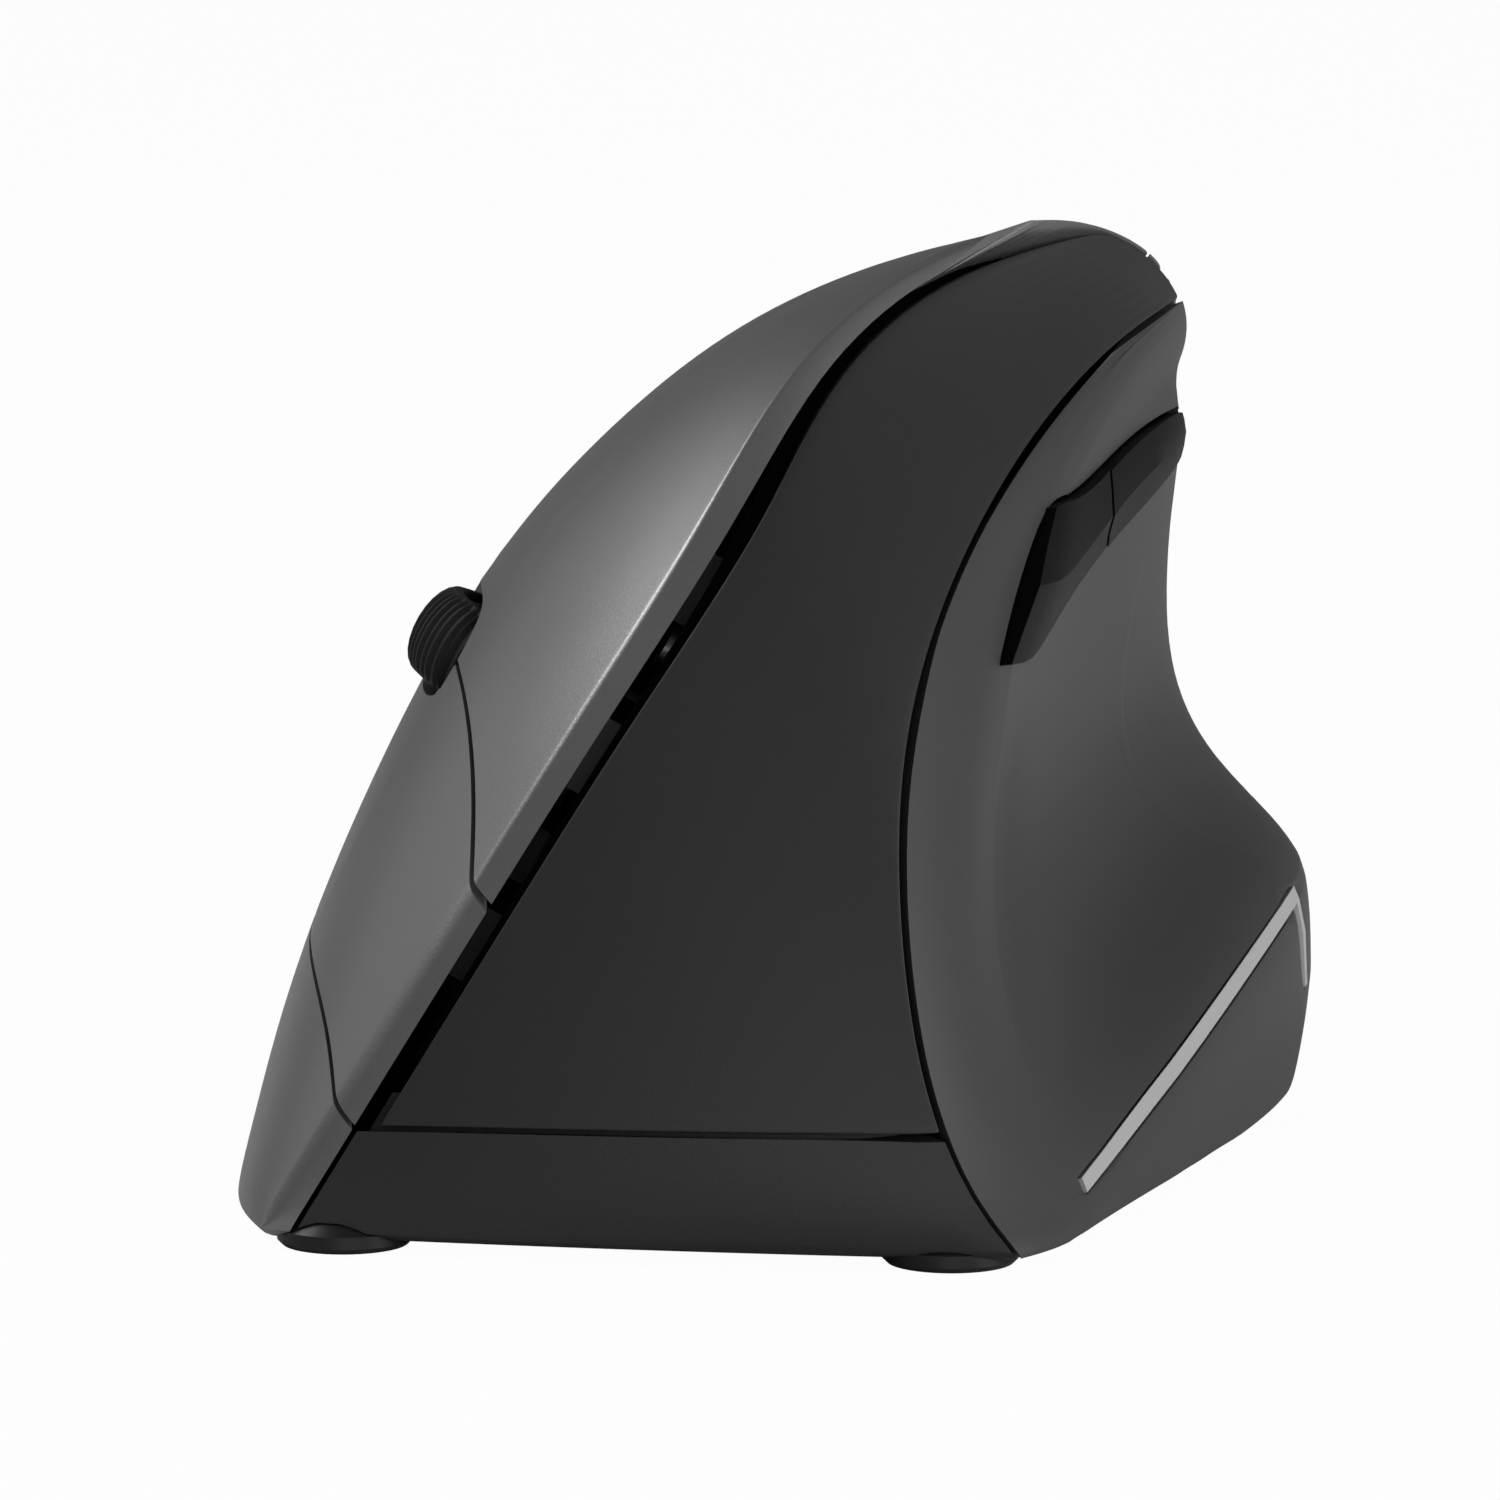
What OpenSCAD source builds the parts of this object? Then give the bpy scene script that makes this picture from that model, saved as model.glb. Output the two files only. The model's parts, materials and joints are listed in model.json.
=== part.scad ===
// Vertical ergonomic mouse for the right hand, wireless, with two main keys, a ribbed wheel and two thumb buttons.
// Millimetres. The front faces -Y, the thumb side +X, the finger side -X; the feet stand on Z = 0.

/* [Body] */
// length from front to heel
body_length = 118; // [114:1:124]
// width over the thumb rest
body_width = 79; // [77:1:83]
// height over the crest
body_height = 72; // [70:1:76]
// thickness of the shell pieces
wall = 2; // [1.8:0.1:2.2]
// gap between neighbouring shell pieces
seam = 0.4; // [0.35:0.05:0.5]
// dark gap between the keys and the front panel
key_gap = 1.6; // [1.3:0.1:1.8]
// gap between the desk and the underside
ride_height = 0.9; // [0.8:0.1:1.2]
// rounding of the bottom edge
bottom_round = 1.4; // [1:0.1:1.5]
// thickness of the floor
floor_thickness = 2.4; // [2.2:0.1:2.8]

/* [Wheel] */
// diameter over the ribbed tyre
wheel_diameter = 23; // [22:0.5:24]
// width of the tyre
wheel_width = 7; // [6:0.5:7.5]
// how far the tyre stands out of the keys
wheel_proud = 2.75; // [2.5:0.25:3.25]
// number of ribs round the tyre
wheel_ribs = 72; // [60:2:84]
// diameter of the wheel's steel axle
axle_diameter = 2; // [1.8:0.1:2.2]

/* [Buttons] */
// how far a thumb button stands out
thumb_button_proud = 1.6; // [1.2:0.1:2]
// clearance round a thumb button
button_fit = 0.3; // [0.25:0.05:0.4]
// width of the accent strip
strip_width = 1.4; // [1.2:0.1:1.6]
// depth of the groove that holds the accent strip
strip_depth = 0.6; // [0.5:0.1:0.8]
// length of the resolution button behind the wheel
dpi_length = 9; // [8:0.5:9.5]
// width of the resolution button
dpi_width = 4.4; // [4:0.2:4.8]

/* [Underside] */
// diameter of a glide foot
foot_diameter = 10; // [9:0.5:10.5]
// height of a glide foot, part of it sunk into the floor
foot_height = 2.1; // [1.9:0.1:2.4]
// diameter of the battery
battery_diameter = 14.3; // [14:0.1:14.5]
// length of the battery with its nub
battery_length = 50.4; // [49:0.1:50.5]
// how far the battery door slides
door_travel = 6; // [5:0.5:6]
// how far the power switch slides
power_travel = 2.5; // [2:0.1:2.6]

/* [Hidden] */
$fa = 6;
$fs = 0.4;

// The body is drawn at these sizes and stretched to the ones asked for
drawn = [78.8, 118.3, 72];
drawn_ride = 1.5;
drawn_middle = 0.33;
stretch = [body_width / drawn.x, body_length / drawn.y, (body_height - ride_height) / (drawn.z - drawn_ride)];
function placed(p) = [(p.x - drawn_middle) * stretch.x, p.y * stretch.y];
function sized(p) = concat(placed(p), [ride_height + (p.z - drawn_ride) * stretch.z]);

// Control columns, each climbing from the bottom edge to just below the crest.
// They run from the front ridge round the finger side and the heel to the thumb side's front seam.
ridge = [[-32, -56.5, 1.5], [-28.5, -56, 7], [-23, -55, 16], [-16, -52.5, 27.5],
  [-8.5, -49, 40], [0.5, -43, 54], [6.5, -28, 69]];
finger_front = [[-35.5, -50, 1.5], [-33, -49, 8], [-29, -47.5, 17], [-23, -44, 29],
  [-15.5, -39.5, 43], [-7, -32.5, 57.5], [3.5, -19, 71]];
finger_middle = [[-38.5, -30, 1.5], [-38, -29.5, 8], [-35.5, -28, 17], [-31, -26, 28],
  [-24, -23, 43], [-14.5, -18, 57.5], [3.5, -6, 70.5]];
finger_rear = [[-40, 6, 1.5], [-40, 7, 8], [-38.5, 7.5, 16], [-35, 9, 26],
  [-28.5, 10.5, 39], [-17.5, 13, 53], [4.5, 17, 66.5]];
palm = [[-32.5, 47, 1.5], [-33, 49, 8], [-31.5, 49.5, 16], [-27.5, 49, 24],
  [-21, 48, 34], [-9.5, 45, 46], [7.5, 39, 57]];
heel = [[1.5, 63, 1.5], [2.5, 64.4, 8], [3.5, 64.4, 16], [5, 63.5, 24],
  [7, 61.5, 32], [10.5, 57.5, 41], [15, 51, 48.5]];
thumb_heel = [[27.5, 47, 1.5], [30, 48.5, 8], [31, 48.5, 16], [30, 48, 22],
  [27, 47.5, 30], [25, 46.5, 40], [24.5, 44.5, 49]];
thumb_rear = [[38.4, 24, 1.5], [40.2, 24, 7], [40.8, 24, 17.5], [38, 24, 22.5],
  [28, 24, 25], [26, 26, 40], [30, 29, 54.5]];
thumb_middle = [[38.8, 4, 1.5], [40, 5, 7], [39.9, 5.5, 17], [37, 6, 21],
  [24, 5, 21.5], [21.5, 5, 36], [30.5, 14, 56.5]];
thumb_scoop = [[33.2, -25, 1.5], [34.8, -23, 5.5], [34.5, -21.5, 10.5], [32, -20, 13.5],
  [18.5, -18, 16], [17.5, -15, 35], [27, -2, 57.5]];
thumb_front = [[28.5, -44, 1.5], [29, -43.5, 3], [29, -43, 5], [27.5, -42, 6.8],
  [20.5, -39, 13], [18.5, -30.5, 36], [25, -13.5, 58]];
thumb_rim = [[27.5, -54, 1.5], [26.5, -54, 3.2], [25, -53.8, 5.5], [23.4, -53.4, 8.5],
  [20, -49.5, 20.5], [18.4, -38, 44], [25.2, -11, 61.5]];
thumb_seam = [[24.5, -58, 1.5], [22.2, -58.2, 4], [19.8, -58, 7.5], [16.8, -56.8, 14.5],
  [14.4, -52.3, 28], [14.4, -42, 46], [23.3, -11.5, 62]];
// Two more columns between the thumb seam and the ridge give the saddle of the front face
front_right = [[6.5, -59, 1.5], [6.5, -60.5, 6], [6.5, -59, 12.5], [6.5, -56, 22.5],
  [8, -51, 35.5], [11.5, -41, 51], [17.5, -18, 65]];
front_left = [[-13.5, -58.5, 1.5], [-12, -60, 6.5], [-9, -58.5, 15], [-5, -55.5, 26.5],
  [-0.5, -51, 39], [5.5, -43, 53], [11.5, -24, 67]];
// The crest that all three sides share, and how far along it the front face reaches
crest = [[20, -9, 72], [31, 3, 71.5], [33.5, 28, 57], [18.5, 45, 50.5]];
crest_join = 0.48;

// Clamped cubic spline over a list of points, or over a list of columns of points
function mix(a, b, s) = a * (1 - s) + b * s;
function clamp(t) = max(0, min(1, t));
function unit(v) = v / norm(v);
function knot(i, n) = clamp((i - 3) / (n - 3));
function share(t, j, r, n) = (t - knot(j, n)) / (knot(j + 4 - r, n) - knot(j, n));
function spline(p, t) = let (
    n = len(p),
    k = min(floor(t * (n - 3)), n - 4),
    q = [for (j = [1:3]) mix(p[k + j - 1], p[k + j], share(t, k + j, 1, n))],
    r = [for (j = [1:2]) mix(q[j - 1], q[j], share(t, k + j + 1, 2, n))]
  ) mix(r[0], r[1], share(t, k + 3, 3, n));

// Control point of the crest for three knots, so that every side follows the same curve exactly
function crest_control(a, b, c) = let (
    q = [for (i = [0:2]) mix(crest[i], crest[i + 1], a)],
    r = [for (i = [0:1]) mix(q[i], q[i + 1], b)]
  ) mix(r[0], r[1], c);
function net_of(columns, from, to) = let (n = len(columns)) [for (k = [0:n - 1]) let (
    s = [for (i = [1:3]) mix(from, to, knot(k + i, n))])
  [for (p = concat(columns[k], [crest_control(s[0], s[1], s[2])])) sized(p)]];

// Finger side and thumb side meet smoothly along the middle of the heel
before_heel = (palm + 2 * heel) / 3;
after_heel = (2 * heel + thumb_heel) / 3;
middle_heel = (before_heel + after_heel) / 2;
finger = net_of([ridge, finger_front, finger_middle, finger_rear, palm, before_heel, middle_heel], 0, 1);
thumb = net_of([middle_heel, after_heel, thumb_heel, thumb_rear, thumb_middle, thumb_scoop, thumb_front,
  thumb_rim, thumb_seam], 1, crest_join);
front = net_of([thumb_seam, front_right, front_left, ridge], crest_join, 0);

// A place [u, w] on a net: u climbs from the bottom edge to the crest, w runs along the columns
step = 0.004;
function at(net, p) = spline(spline(net, p[1]), p[0]);
function along_u(net, p) = (at(net, [clamp(p[0] + step), p[1]]) - at(net, [clamp(p[0] - step), p[1]])) /
  (clamp(p[0] + step) - clamp(p[0] - step));
function along_w(net, p) = (at(net, [p[0], clamp(p[1] + step)]) - at(net, [p[0], clamp(p[1] - step)])) /
  (clamp(p[1] + step) - clamp(p[1] - step));
function normal(net, p) = unit(cross(along_u(net, p), along_w(net, p)));
// A place moved square to the lines of constant u and of constant w, by [millimetres, millimetres]
function moved(net, p, mm) = mm == [0, 0] ? p : let (
    du = along_u(net, p),
    dw = along_w(net, p),
    area = norm(cross(du, dw))
  ) [clamp(p[0] + mm[0] * norm(dw) / area), clamp(p[1] + mm[1] * norm(du) / area)];
// Axes at a place: Z outward, X as near to the direction asked for as the surface allows
function frame_at(net, p, direction) = let (
    o = at(net, p),
    z = normal(net, p),
    x = unit(direction - z * (direction * z)),
    y = cross(z, x)
  ) [[x.x, y.x, z.x, o.x], [x.y, y.y, z.y, o.y], [x.z, y.z, z.z, o.z], [0, 0, 0, 1]];
function in_frame(frame, p) = let (q = frame * [p.x, p.y, p.z, 1]) [q.x, q.y, q.z];

// Outer points roll under at the bottom edge; inner points stay above the underside
function level(n) = unit([n.x, n.y, 0]);
function rolled(p, out) = let (t = clamp((ride_height + bottom_round - p.z) / bottom_round))
  p - bottom_round * (1 - sqrt(1 - t * t)) * out;
function outer_points(net, places) = [for (row = places) [for (p = row) rolled(at(net, p), level(normal(net, p)))]];
function above_floor(p) = [p.x, p.y, max(p.z, ride_height)];
function inner_points(net, places, depth) = [for (row = places) [for (p = row)
  above_floor(at(net, p) - normal(net, p) * depth)]];

// A closed skin between an outer and an inner grid of points, over the cells that keep() asks for
module skin(outer, inner, keep = function(i, j) true) {
  rows = len(outer) - 1;
  cols = len(outer[0]) - 1;
  kept = function(i, j) i >= 0 && j >= 0 && i < rows && j < cols && keep(i, j);
  at = function(i, j) i * (cols + 1) + j;
  deep = (rows + 1) * (cols + 1);
  function quad(a, b, c, d) = [[a, b, c], [a, c, d]];
  cells = [for (i = [0:rows - 1]) for (j = [0:cols - 1]) if (kept(i, j)) [i, j]];
  faces = [for (c = cells) let (i = c[0], j = c[1],
      a = at(i, j), b = at(i, j + 1), d = at(i + 1, j), e = at(i + 1, j + 1)) each concat(
        quad(a, b, e, d),
        quad(deep + a, deep + d, deep + e, deep + b),
        kept(i - 1, j) ? [] : quad(a, deep + a, deep + b, b),
        kept(i + 1, j) ? [] : quad(d, e, deep + e, deep + d),
        kept(i, j - 1) ? [] : quad(a, d, deep + d, deep + a),
        kept(i, j + 1) ? [] : quad(b, deep + b, deep + e, e))];
  polyhedron([for (row = outer) each row, for (row = inner) each row], faces);
}

// Where two sides meet at an edge their inner faces are mitred: how far each steps back
function mitre(a, b) = min(1.6 * wall, wall * tan(acos(a * b) / 2) + 0.3);
function crest_mitre(s) = let (
    f = normal(finger, [1, s]),
    other = s < crest_join ? normal(front, [1, 1 - s / crest_join]) :
      normal(thumb, [1, (1 - s) / (1 - crest_join)])
  ) mitre(f, other);
function seam_mitre(u) = mitre(normal(thumb, [u, 1]), normal(front, [u, 0]));
// Below the seam the two neighbours roll under together, along the bisector of their corner
function seam_roll(u) = let (
    a = level(normal(thumb, [u, 1])),
    b = level(normal(front, [u, 0]))
  ) (a + b) / (1 + a * b);

module block(from, to) {
  translate(from) cube(to - from);
}

module post(x, y, from, to, r) {
  translate([x, y, from]) cylinder(r = r, h = to - from);
}

module strut(from, to, r) {
  d = to - from;
  translate(from) rotate([0, acos(d.z / norm(d)), atan2(d.y, d.x)]) cylinder(r = r, h = norm(d));
}

// Seams of the finger side
function ring_seam(w) = 0.13 + 0.12 * (1 - exp(-w / 0.1125));
function key_split(w) = 0.385 + 0.205 * (1 - exp(-w / 0.1));
key_low = 0.25;
key_middle = 0.59;
function key_rear(u) = 0.3 + 0.59 * sqrt(max(0, 1 - u));
function toward_crest(s) = 1 - (1 - s) * (1 - s);

// Along the ridge the keys show their thickness on the front face, then comes the dark gap
function ease(t) = let (s = clamp(t)) s * s * (3 - 2 * s);
function band(u) = wall * (1.05 - 0.5 * ease((u - 0.8) / 0.2));
function gap_at_ridge(u) = mix(key_gap, seam, ease((u - 0.75) / 0.25));
function front_edge(u, mm) = moved(front, [u, 1], [0, -mm]);
function edge_on_front(u) = let (p = front_edge(u, band(u))) rolled(at(front, p), level(normal(front, p)));
// The seams that end at the ridge slant down as they cross the band
slant = 0.02;
function slanted(u) = u - slant * clamp(u / ring_seam(0)) * (1 - ease((u - key_middle) / 0.35));

// Openings in the split between the keys: the wheel slot and, behind it, the resolution button
wheel_w = 0.2875;
dpi_w = 0.5;
slot_below = wheel_diameter / 2 - wheel_proud - wall - 0.4;
slot_half = [sqrt(pow(wheel_diameter / 2, 2) - pow(slot_below, 2)) + 2, wheel_width / 2 + 0.95];
dpi_half = [dpi_length / 2 + 0.4, dpi_width / 2 + 0.4];
// The keys turn a little as they are pressed, so the split widens towards the ridge
tip_room = 0.16;
function on_split(w) = [key_split(w), w];
function along_split(w) = at(finger, on_split(w + 0.03)) - at(finger, on_split(w - 0.03));
function w_scale(w) = norm(along_split(w)) / 0.06;
slot_reach = slot_half.x / w_scale(wheel_w);
dpi_reach = dpi_half.x / w_scale(dpi_w);
function bulge(x) = abs(x) < 1 ? sqrt(1 - pow(x, 8)) : 0;
function split_gap(w) = seam / 2 + tip_room * clamp(1 - w / 0.14) +
  (slot_half.y - seam / 2) * bulge((w - wheel_w) / slot_reach) +
  (dpi_half.y - seam / 2) * bulge((w - dpi_w) / dpi_reach);
// Round the wheel the split runs straight; each key's edge lies this far in u from the split's own line
split_slope = (key_split(wheel_w + 0.03) - key_split(wheel_w - 0.03)) / 0.06;
function split_line(w) = mix(key_split(w), key_split(wheel_w) + split_slope * (w - wheel_w),
  bulge((w - wheel_w) / slot_reach));
function split_step(w, side) = moved(finger, [split_line(w), w], [side * split_gap(w), 0])[0] - key_split(w);
key_end = key_rear(key_middle);
key_lines = concat(
  [for (k = [0:4]) (wheel_w - slot_reach) * k / 5],
  [for (s = [-1, -0.97, -0.88, -0.6, 0, 0.6, 0.88, 0.97, 1]) wheel_w + s * slot_reach],
  [for (k = [1:2]) mix(wheel_w + slot_reach, dpi_w - dpi_reach, k / 3)],
  [for (s = [-1, -0.92, -0.65, 0, 0.65, 0.92, 1]) dpi_w + s * dpi_reach],
  [for (k = [1:4]) mix(dpi_w + dpi_reach, key_end, k / 4)]);
last_line = len(key_lines) - 1;

// Above the thumb buttons the finger side steps back further, as the thumb side has less room there
function finger_step(w) = crest_mitre(w) * (1 + 0.3 * ease((w - 0.45) / 0.1));
function finger_inner(places, back) = [for (i = [0:len(places) - 1]) [for (j = [0:len(places[0]) - 1]) let (
    p = moved(finger, places[i][j], [-back[i] * finger_step(places[i][j][1]), 0]))
  j == 0 ? edge_on_front(slanted(p[0])) : above_floor(at(finger, p) - normal(finger, p) * wall)]];

module key_left_shell() {
  rows = 12;
  rise = [for (i = [0:rows]) toward_crest(i / rows)];
  places = [for (i = [0:rows]) [for (j = [0:last_line]) let (
      w = key_lines[j] * key_rear(mix(key_middle, 1, rise[i])) / key_end,
      u = mix(key_split(w) + split_step(key_lines[j], 1), 1, rise[i]))
    moved(finger, [u, w], [i == rows ? -seam / 2 : 0, j == last_line ? -seam / 2 : 0])]];
  skin(outer_points(finger, places), finger_inner(places, rise));
}

module key_right_shell() {
  rows = 8;
  places = [for (i = [0:rows]) [for (j = [0:last_line]) let (
      w = key_lines[j] * key_rear(mix(key_low, key_middle, i / rows)) / key_end,
      u = mix(ring_seam(w), key_split(w) + split_step(key_lines[j], -1), i / rows))
    moved(finger, [u, w], [i == 0 ? seam / 2 : 0, j == last_line ? -seam / 2 : 0])]];
  skin(outer_points(finger, places), finger_inner(places, [for (i = [0:rows]) 0]));
}

// Frame of everything round the wheel: X to the rear, Y down the finger side, Z out through the keys
deck = frame_at(finger, on_split(wheel_w), along_split(wheel_w));
module on_deck() {
  multmatrix(deck) children();
}
board_top = -14;
board_thickness = 1.2;
switch_size = [12.8, 5.8, 6.5];
deck_top = -17.2;
deck_bottom = -19.2;
deck_ends = [-22, 29];
// The deck reaches down the finger side to just above the main board
floor_top = ride_height + floor_thickness;
board_bottom = floor_top + 3.2;
main_board_top = board_bottom + 1.2;
deck_clear = 0.6;
deck_low = (in_frame(deck, [deck_ends[1], 0, deck_bottom]).z - main_board_top - deck_clear) / -deck[2][1];
leg_points = [for (p = [[-15, deck_low - 5, -18], [20, deck_low - 5, -18], [5, -16, -18]]) in_frame(deck, p)];
left_switch = [-12, -14];
right_switch = [-12, deck_low - 8];
pin_radius = 1.4;
pin_fit = 0.5;
key_pin_end = board_top + switch_size.z - 0.8;

module key_pin(place, top) {
  on_deck() post(place.x, place.y, key_pin_end, top, pin_radius);
}

module key_left() {
  color("#616263") {
    key_left_shell();
    key_pin(left_switch, -3.2);
  }
}

module key_right() {
  color("#616263") {
    key_right_shell();
    key_pin(right_switch, -2.5);
  }
}

roll_lines = [0, 0.008, 0.02];
module palm_cover() {
  roll = len(roll_lines) - 1;
  low_rows = roll + 4;
  key_rows = 4;
  crest_rows = 12;
  rows = low_rows + key_rows + crest_rows;
  front_cells = 14;
  cells = 26;
  function u_behind(i) = i <= roll ? roll_lines[i] :
    i <= low_rows ? mix(roll_lines[roll], key_low, (i - roll) / (low_rows - roll)) :
    i <= low_rows + key_rows ? mix(key_low, key_middle, (i - low_rows) / key_rows) :
    mix(key_middle, 1, toward_crest((i - low_rows - key_rows) / crest_rows));
  function u_ahead(i, w) = i <= roll ? roll_lines[i] :
    mix(roll_lines[roll], ring_seam(w), (i - roll) / (low_rows - roll));
  places = [for (i = [0:rows]) [for (j = [0:cells]) let (
      start = key_rear(max(key_low, u_behind(i))),
      w = j < front_cells ? start * j / front_cells :
        mix(start, 1, (j - front_cells) / (cells - front_cells)),
      u = i <= low_rows ? u_ahead(i, w) : u_behind(i))
    moved(finger, [u, w], [
      i == rows || (i == low_rows && j <= front_cells) ? -seam / 2 : 0,
      j == cells ? -seam / 2 : j == front_cells && i >= low_rows ? seam / 2 : 0])]];
  back = [for (i = [0:rows]) toward_crest(clamp((i - low_rows - key_rows) / crest_rows))];
  color("#5f6061")
    difference() {
      skin(outer_points(finger, places), finger_inner(places, back),
        function(i, j) i < low_rows || j >= front_cells);
      foot_pocket(foot_places[0]);
    }
}

// Front face: a panel above and the base's own strip below
function base_seam(w) = let (q = 1 - w) 0.106 + 0.064 * q + 0.102 * pow(q, 4);
module front_panel() {
  rows = 20;
  cols = 10;
  places = [for (i = [0:rows]) [for (j = [0:cols]) let (
      u_left = mix(base_seam(1), 1, i / rows),
      left = front_edge(u_left, band(u_left) + gap_at_ridge(u_left))[1],
      w = mix(0, left, j / cols),
      u = mix(base_seam(w), 1, i / rows))
    moved(front, [u, w], [i == 0 ? seam / 2 : i == rows ? -seam / 2 - tip_room : 0, j == 0 ? seam / 2 : 0])]];
  inner_places = [for (i = [0:rows]) [for (j = [0:cols]) let (p = places[i][j])
    moved(front, p, [
      -clamp((i - rows + 2) / 2) * crest_mitre(crest_join * (1 - p[1])),
      clamp(1 - j / 3) * seam_mitre(p[0])])]];
  color("#2b2b2c") skin(outer_points(front, places), inner_points(front, inner_places, wall));
}

// The strip is thick along the floor, and a tongue stands up behind the panel
tongue = [3, wall + 0.25, wall + 1.3];
module base_strip() {
  roll = len(roll_lines) - 1;
  edge = roll + 4;
  cols = 14;
  function u_line(i, w) = i <= roll ? roll_lines[i] :
    mix(roll_lines[roll], base_seam(w), clamp((i - roll) / (edge - roll)));
  places = [for (i = [0:edge + 2]) [for (j = [0:cols]) let (
      u_left = u_line(i, 1),
      left = front_edge(u_left, band(u_left) + seam)[1],
      w = mix(0, left, j / cols))
    moved(front, [u_line(i, w), w], [
      i < edge ? 0 : i < edge + 2 ? -seam / 2 : tongue[0],
      j == 0 ? seam / 2 : 0])]];
  function stepped(q, j, depth) = moved(front, q, [0, clamp(1 - j / 4) * seam_mitre(q[0]) * depth / wall]);
  outer = [for (i = [0:edge + 2]) [for (j = [0:cols]) let (
      p = i > edge ? stepped(places[i][j], j, tongue[2]) : places[i][j],
      n = normal(front, p))
    rolled(at(front, p), j == 0 ? seam_roll(p[0]) : level(n)) - n * (i > edge ? tongue[1] : 0)]];
  inner = [for (i = [0:edge + 2]) [for (j = [0:cols]) let (
      depth = i <= roll ? wall + 1.5 : i < edge ? wall : tongue[2],
      p = stepped(places[i][j], j, depth))
    above_floor(at(front, p) - normal(front, p) * depth)]];
  skin(outer, inner);
}

// Inner frame that shows black behind the gap along the ridge
module ridge_frame() {
  rows = 20;
  cols = 3;
  places = [for (i = [0:rows]) [for (j = [0:cols]) let (u = mix(0.19, 0.9, i / rows))
    front_edge(u, mix(band(u) + gap_at_ridge(u) + 3, band(u) + 0.3, j / cols))]];
  color("#0c0c0c") skin(inner_points(front, places, wall + 0.2), inner_points(front, places, wall + 1.4));
}

// Thumb side: the opening of the two buttons, low edge, high edge and slanting front end
opening_rear = 0.383;
function past_rear(w) = max(0, w - 0.333);
function opening_low(w) = let (y = past_rear(w)) 0.91 - 0.12 * y - 0.162 * y * y;
function opening_high(w) = let (y = past_rear(w)) 0.955 + 0.02 * y - 0.28 * y * y;
function opening_front(s) = mix(0.915, 0.925, s);
function opening_split(s) = mix(0.62, 0.76, s);

// The accent strip follows one line and hooks down at its rear end
strip_u = 0.27;
strip_rear = 0.455;
strip_front = 0.875;
strip_tip = 0.12;
// The line falls towards its front end, and the lines below it fall with it
function strip_fall(w) = 1 - 0.35 * pow(clamp((w - 0.74) / (strip_front - 0.74)), 2);
strip_half = strip_width / 2;
lip = 0.06;

module thumb_panel() {
  u_lines = concat([for (u = roll_lines) [u, 0]],
    [[0.07, 0], [strip_tip, -lip], [strip_tip, lip], [mix(strip_tip, strip_u, 0.5), 0]],
    [for (s = [-strip_half - lip, -strip_half + lip, strip_half - lip, strip_half + lip]) [strip_u, s]]);
  w_lines = concat([[0, seam / 2]],
    [for (k = [1:6]) [opening_rear * k / 7, 0]],
    [[opening_rear, 0]],
    [for (s = [-strip_half - lip, -strip_half + lip, strip_half - lip, strip_half + lip]) [strip_rear, s]],
    [for (k = [1:9]) [mix(strip_rear, strip_front, k / 10), 0]],
    [[strip_front, -lip], [strip_front, lip]]);
  tip_in = 5;
  low_in = 8;
  high_in = 9;
  hook_in = 9;
  hook_out = 10;
  front_in = len(w_lines) - 2;
  opening_cell = 7;
  above = 7;
  across = 3;
  top = 3;
  ahead = 4;
  low_rows = len(u_lines) - 1;
  hole_low = low_rows + above;
  hole_high = hole_low + across;
  rows = hole_high + top;
  hole_front = len(w_lines);
  cols = hole_front + ahead;
  function w_at(i, j) = j < hole_front ? w_lines[j][0] :
    mix(opening_front(clamp((i - hole_low) / across)), 1, (j - hole_front) / ahead);
  function u_at(i, w) = i < len(roll_lines) ? u_lines[i][0] :
    i <= low_rows ? u_lines[i][0] * strip_fall(w) :
    i <= hole_low ? mix(strip_u * strip_fall(w), opening_low(w), (i - low_rows) / above) :
    i <= hole_high ? mix(opening_low(w), opening_high(w), (i - hole_low) / across) :
    mix(opening_high(w), 1, (i - hole_high) / top);
  places = [for (i = [0:rows]) [for (j = [0:cols]) let (w = w_at(i, j))
    moved(thumb, [u_at(i, w), w], [
      i <= low_rows ? u_lines[i][1] : i == rows ? -seam / 2 : 0,
      j < hole_front ? w_lines[j][1] : j == cols ? -seam / 2 : 0])]];
  sunk = function(i, j) i <= high_in && j >= hook_in && j <= front_in &&
    (i >= low_in || (i >= tip_in && j <= hook_out));
  outer = [for (i = [0:rows]) [for (j = [0:cols]) let (p = places[i][j], n = normal(thumb, p))
    rolled(at(thumb, p), j == cols ? seam_roll(p[0]) : level(n)) - n * (sunk(i, j) ? strip_depth : 0)]];
  // The inner face steps back from the crest within the room above the opening
  function crest_step(w) = min(crest_mitre(1 - w * (1 - crest_join)),
    0.85 * (1 - opening_high(w)) * norm(along_u(thumb, [1, w])));
  function step_share(i, j) = j < opening_cell - 1 ? clamp((i - hole_low + 1) / (rows - hole_low + 1)) :
    clamp((i - hole_high) / top);
  inner_places = [for (i = [0:rows]) [for (j = [0:cols]) let (p = places[i][j])
    moved(thumb, p, [
      -step_share(i, j) * crest_step(p[1]),
      -clamp((j - hole_front) / ahead) * seam_mitre(p[0])])]];
  color("#3c3d3e")
    difference() {
      skin(outer, inner_points(thumb, inner_places, wall),
        function(i, j) i < hole_low || i >= hole_high || j < opening_cell || j >= hole_front);
      foot_pocket(foot_places[1]);
    }
}

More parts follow.
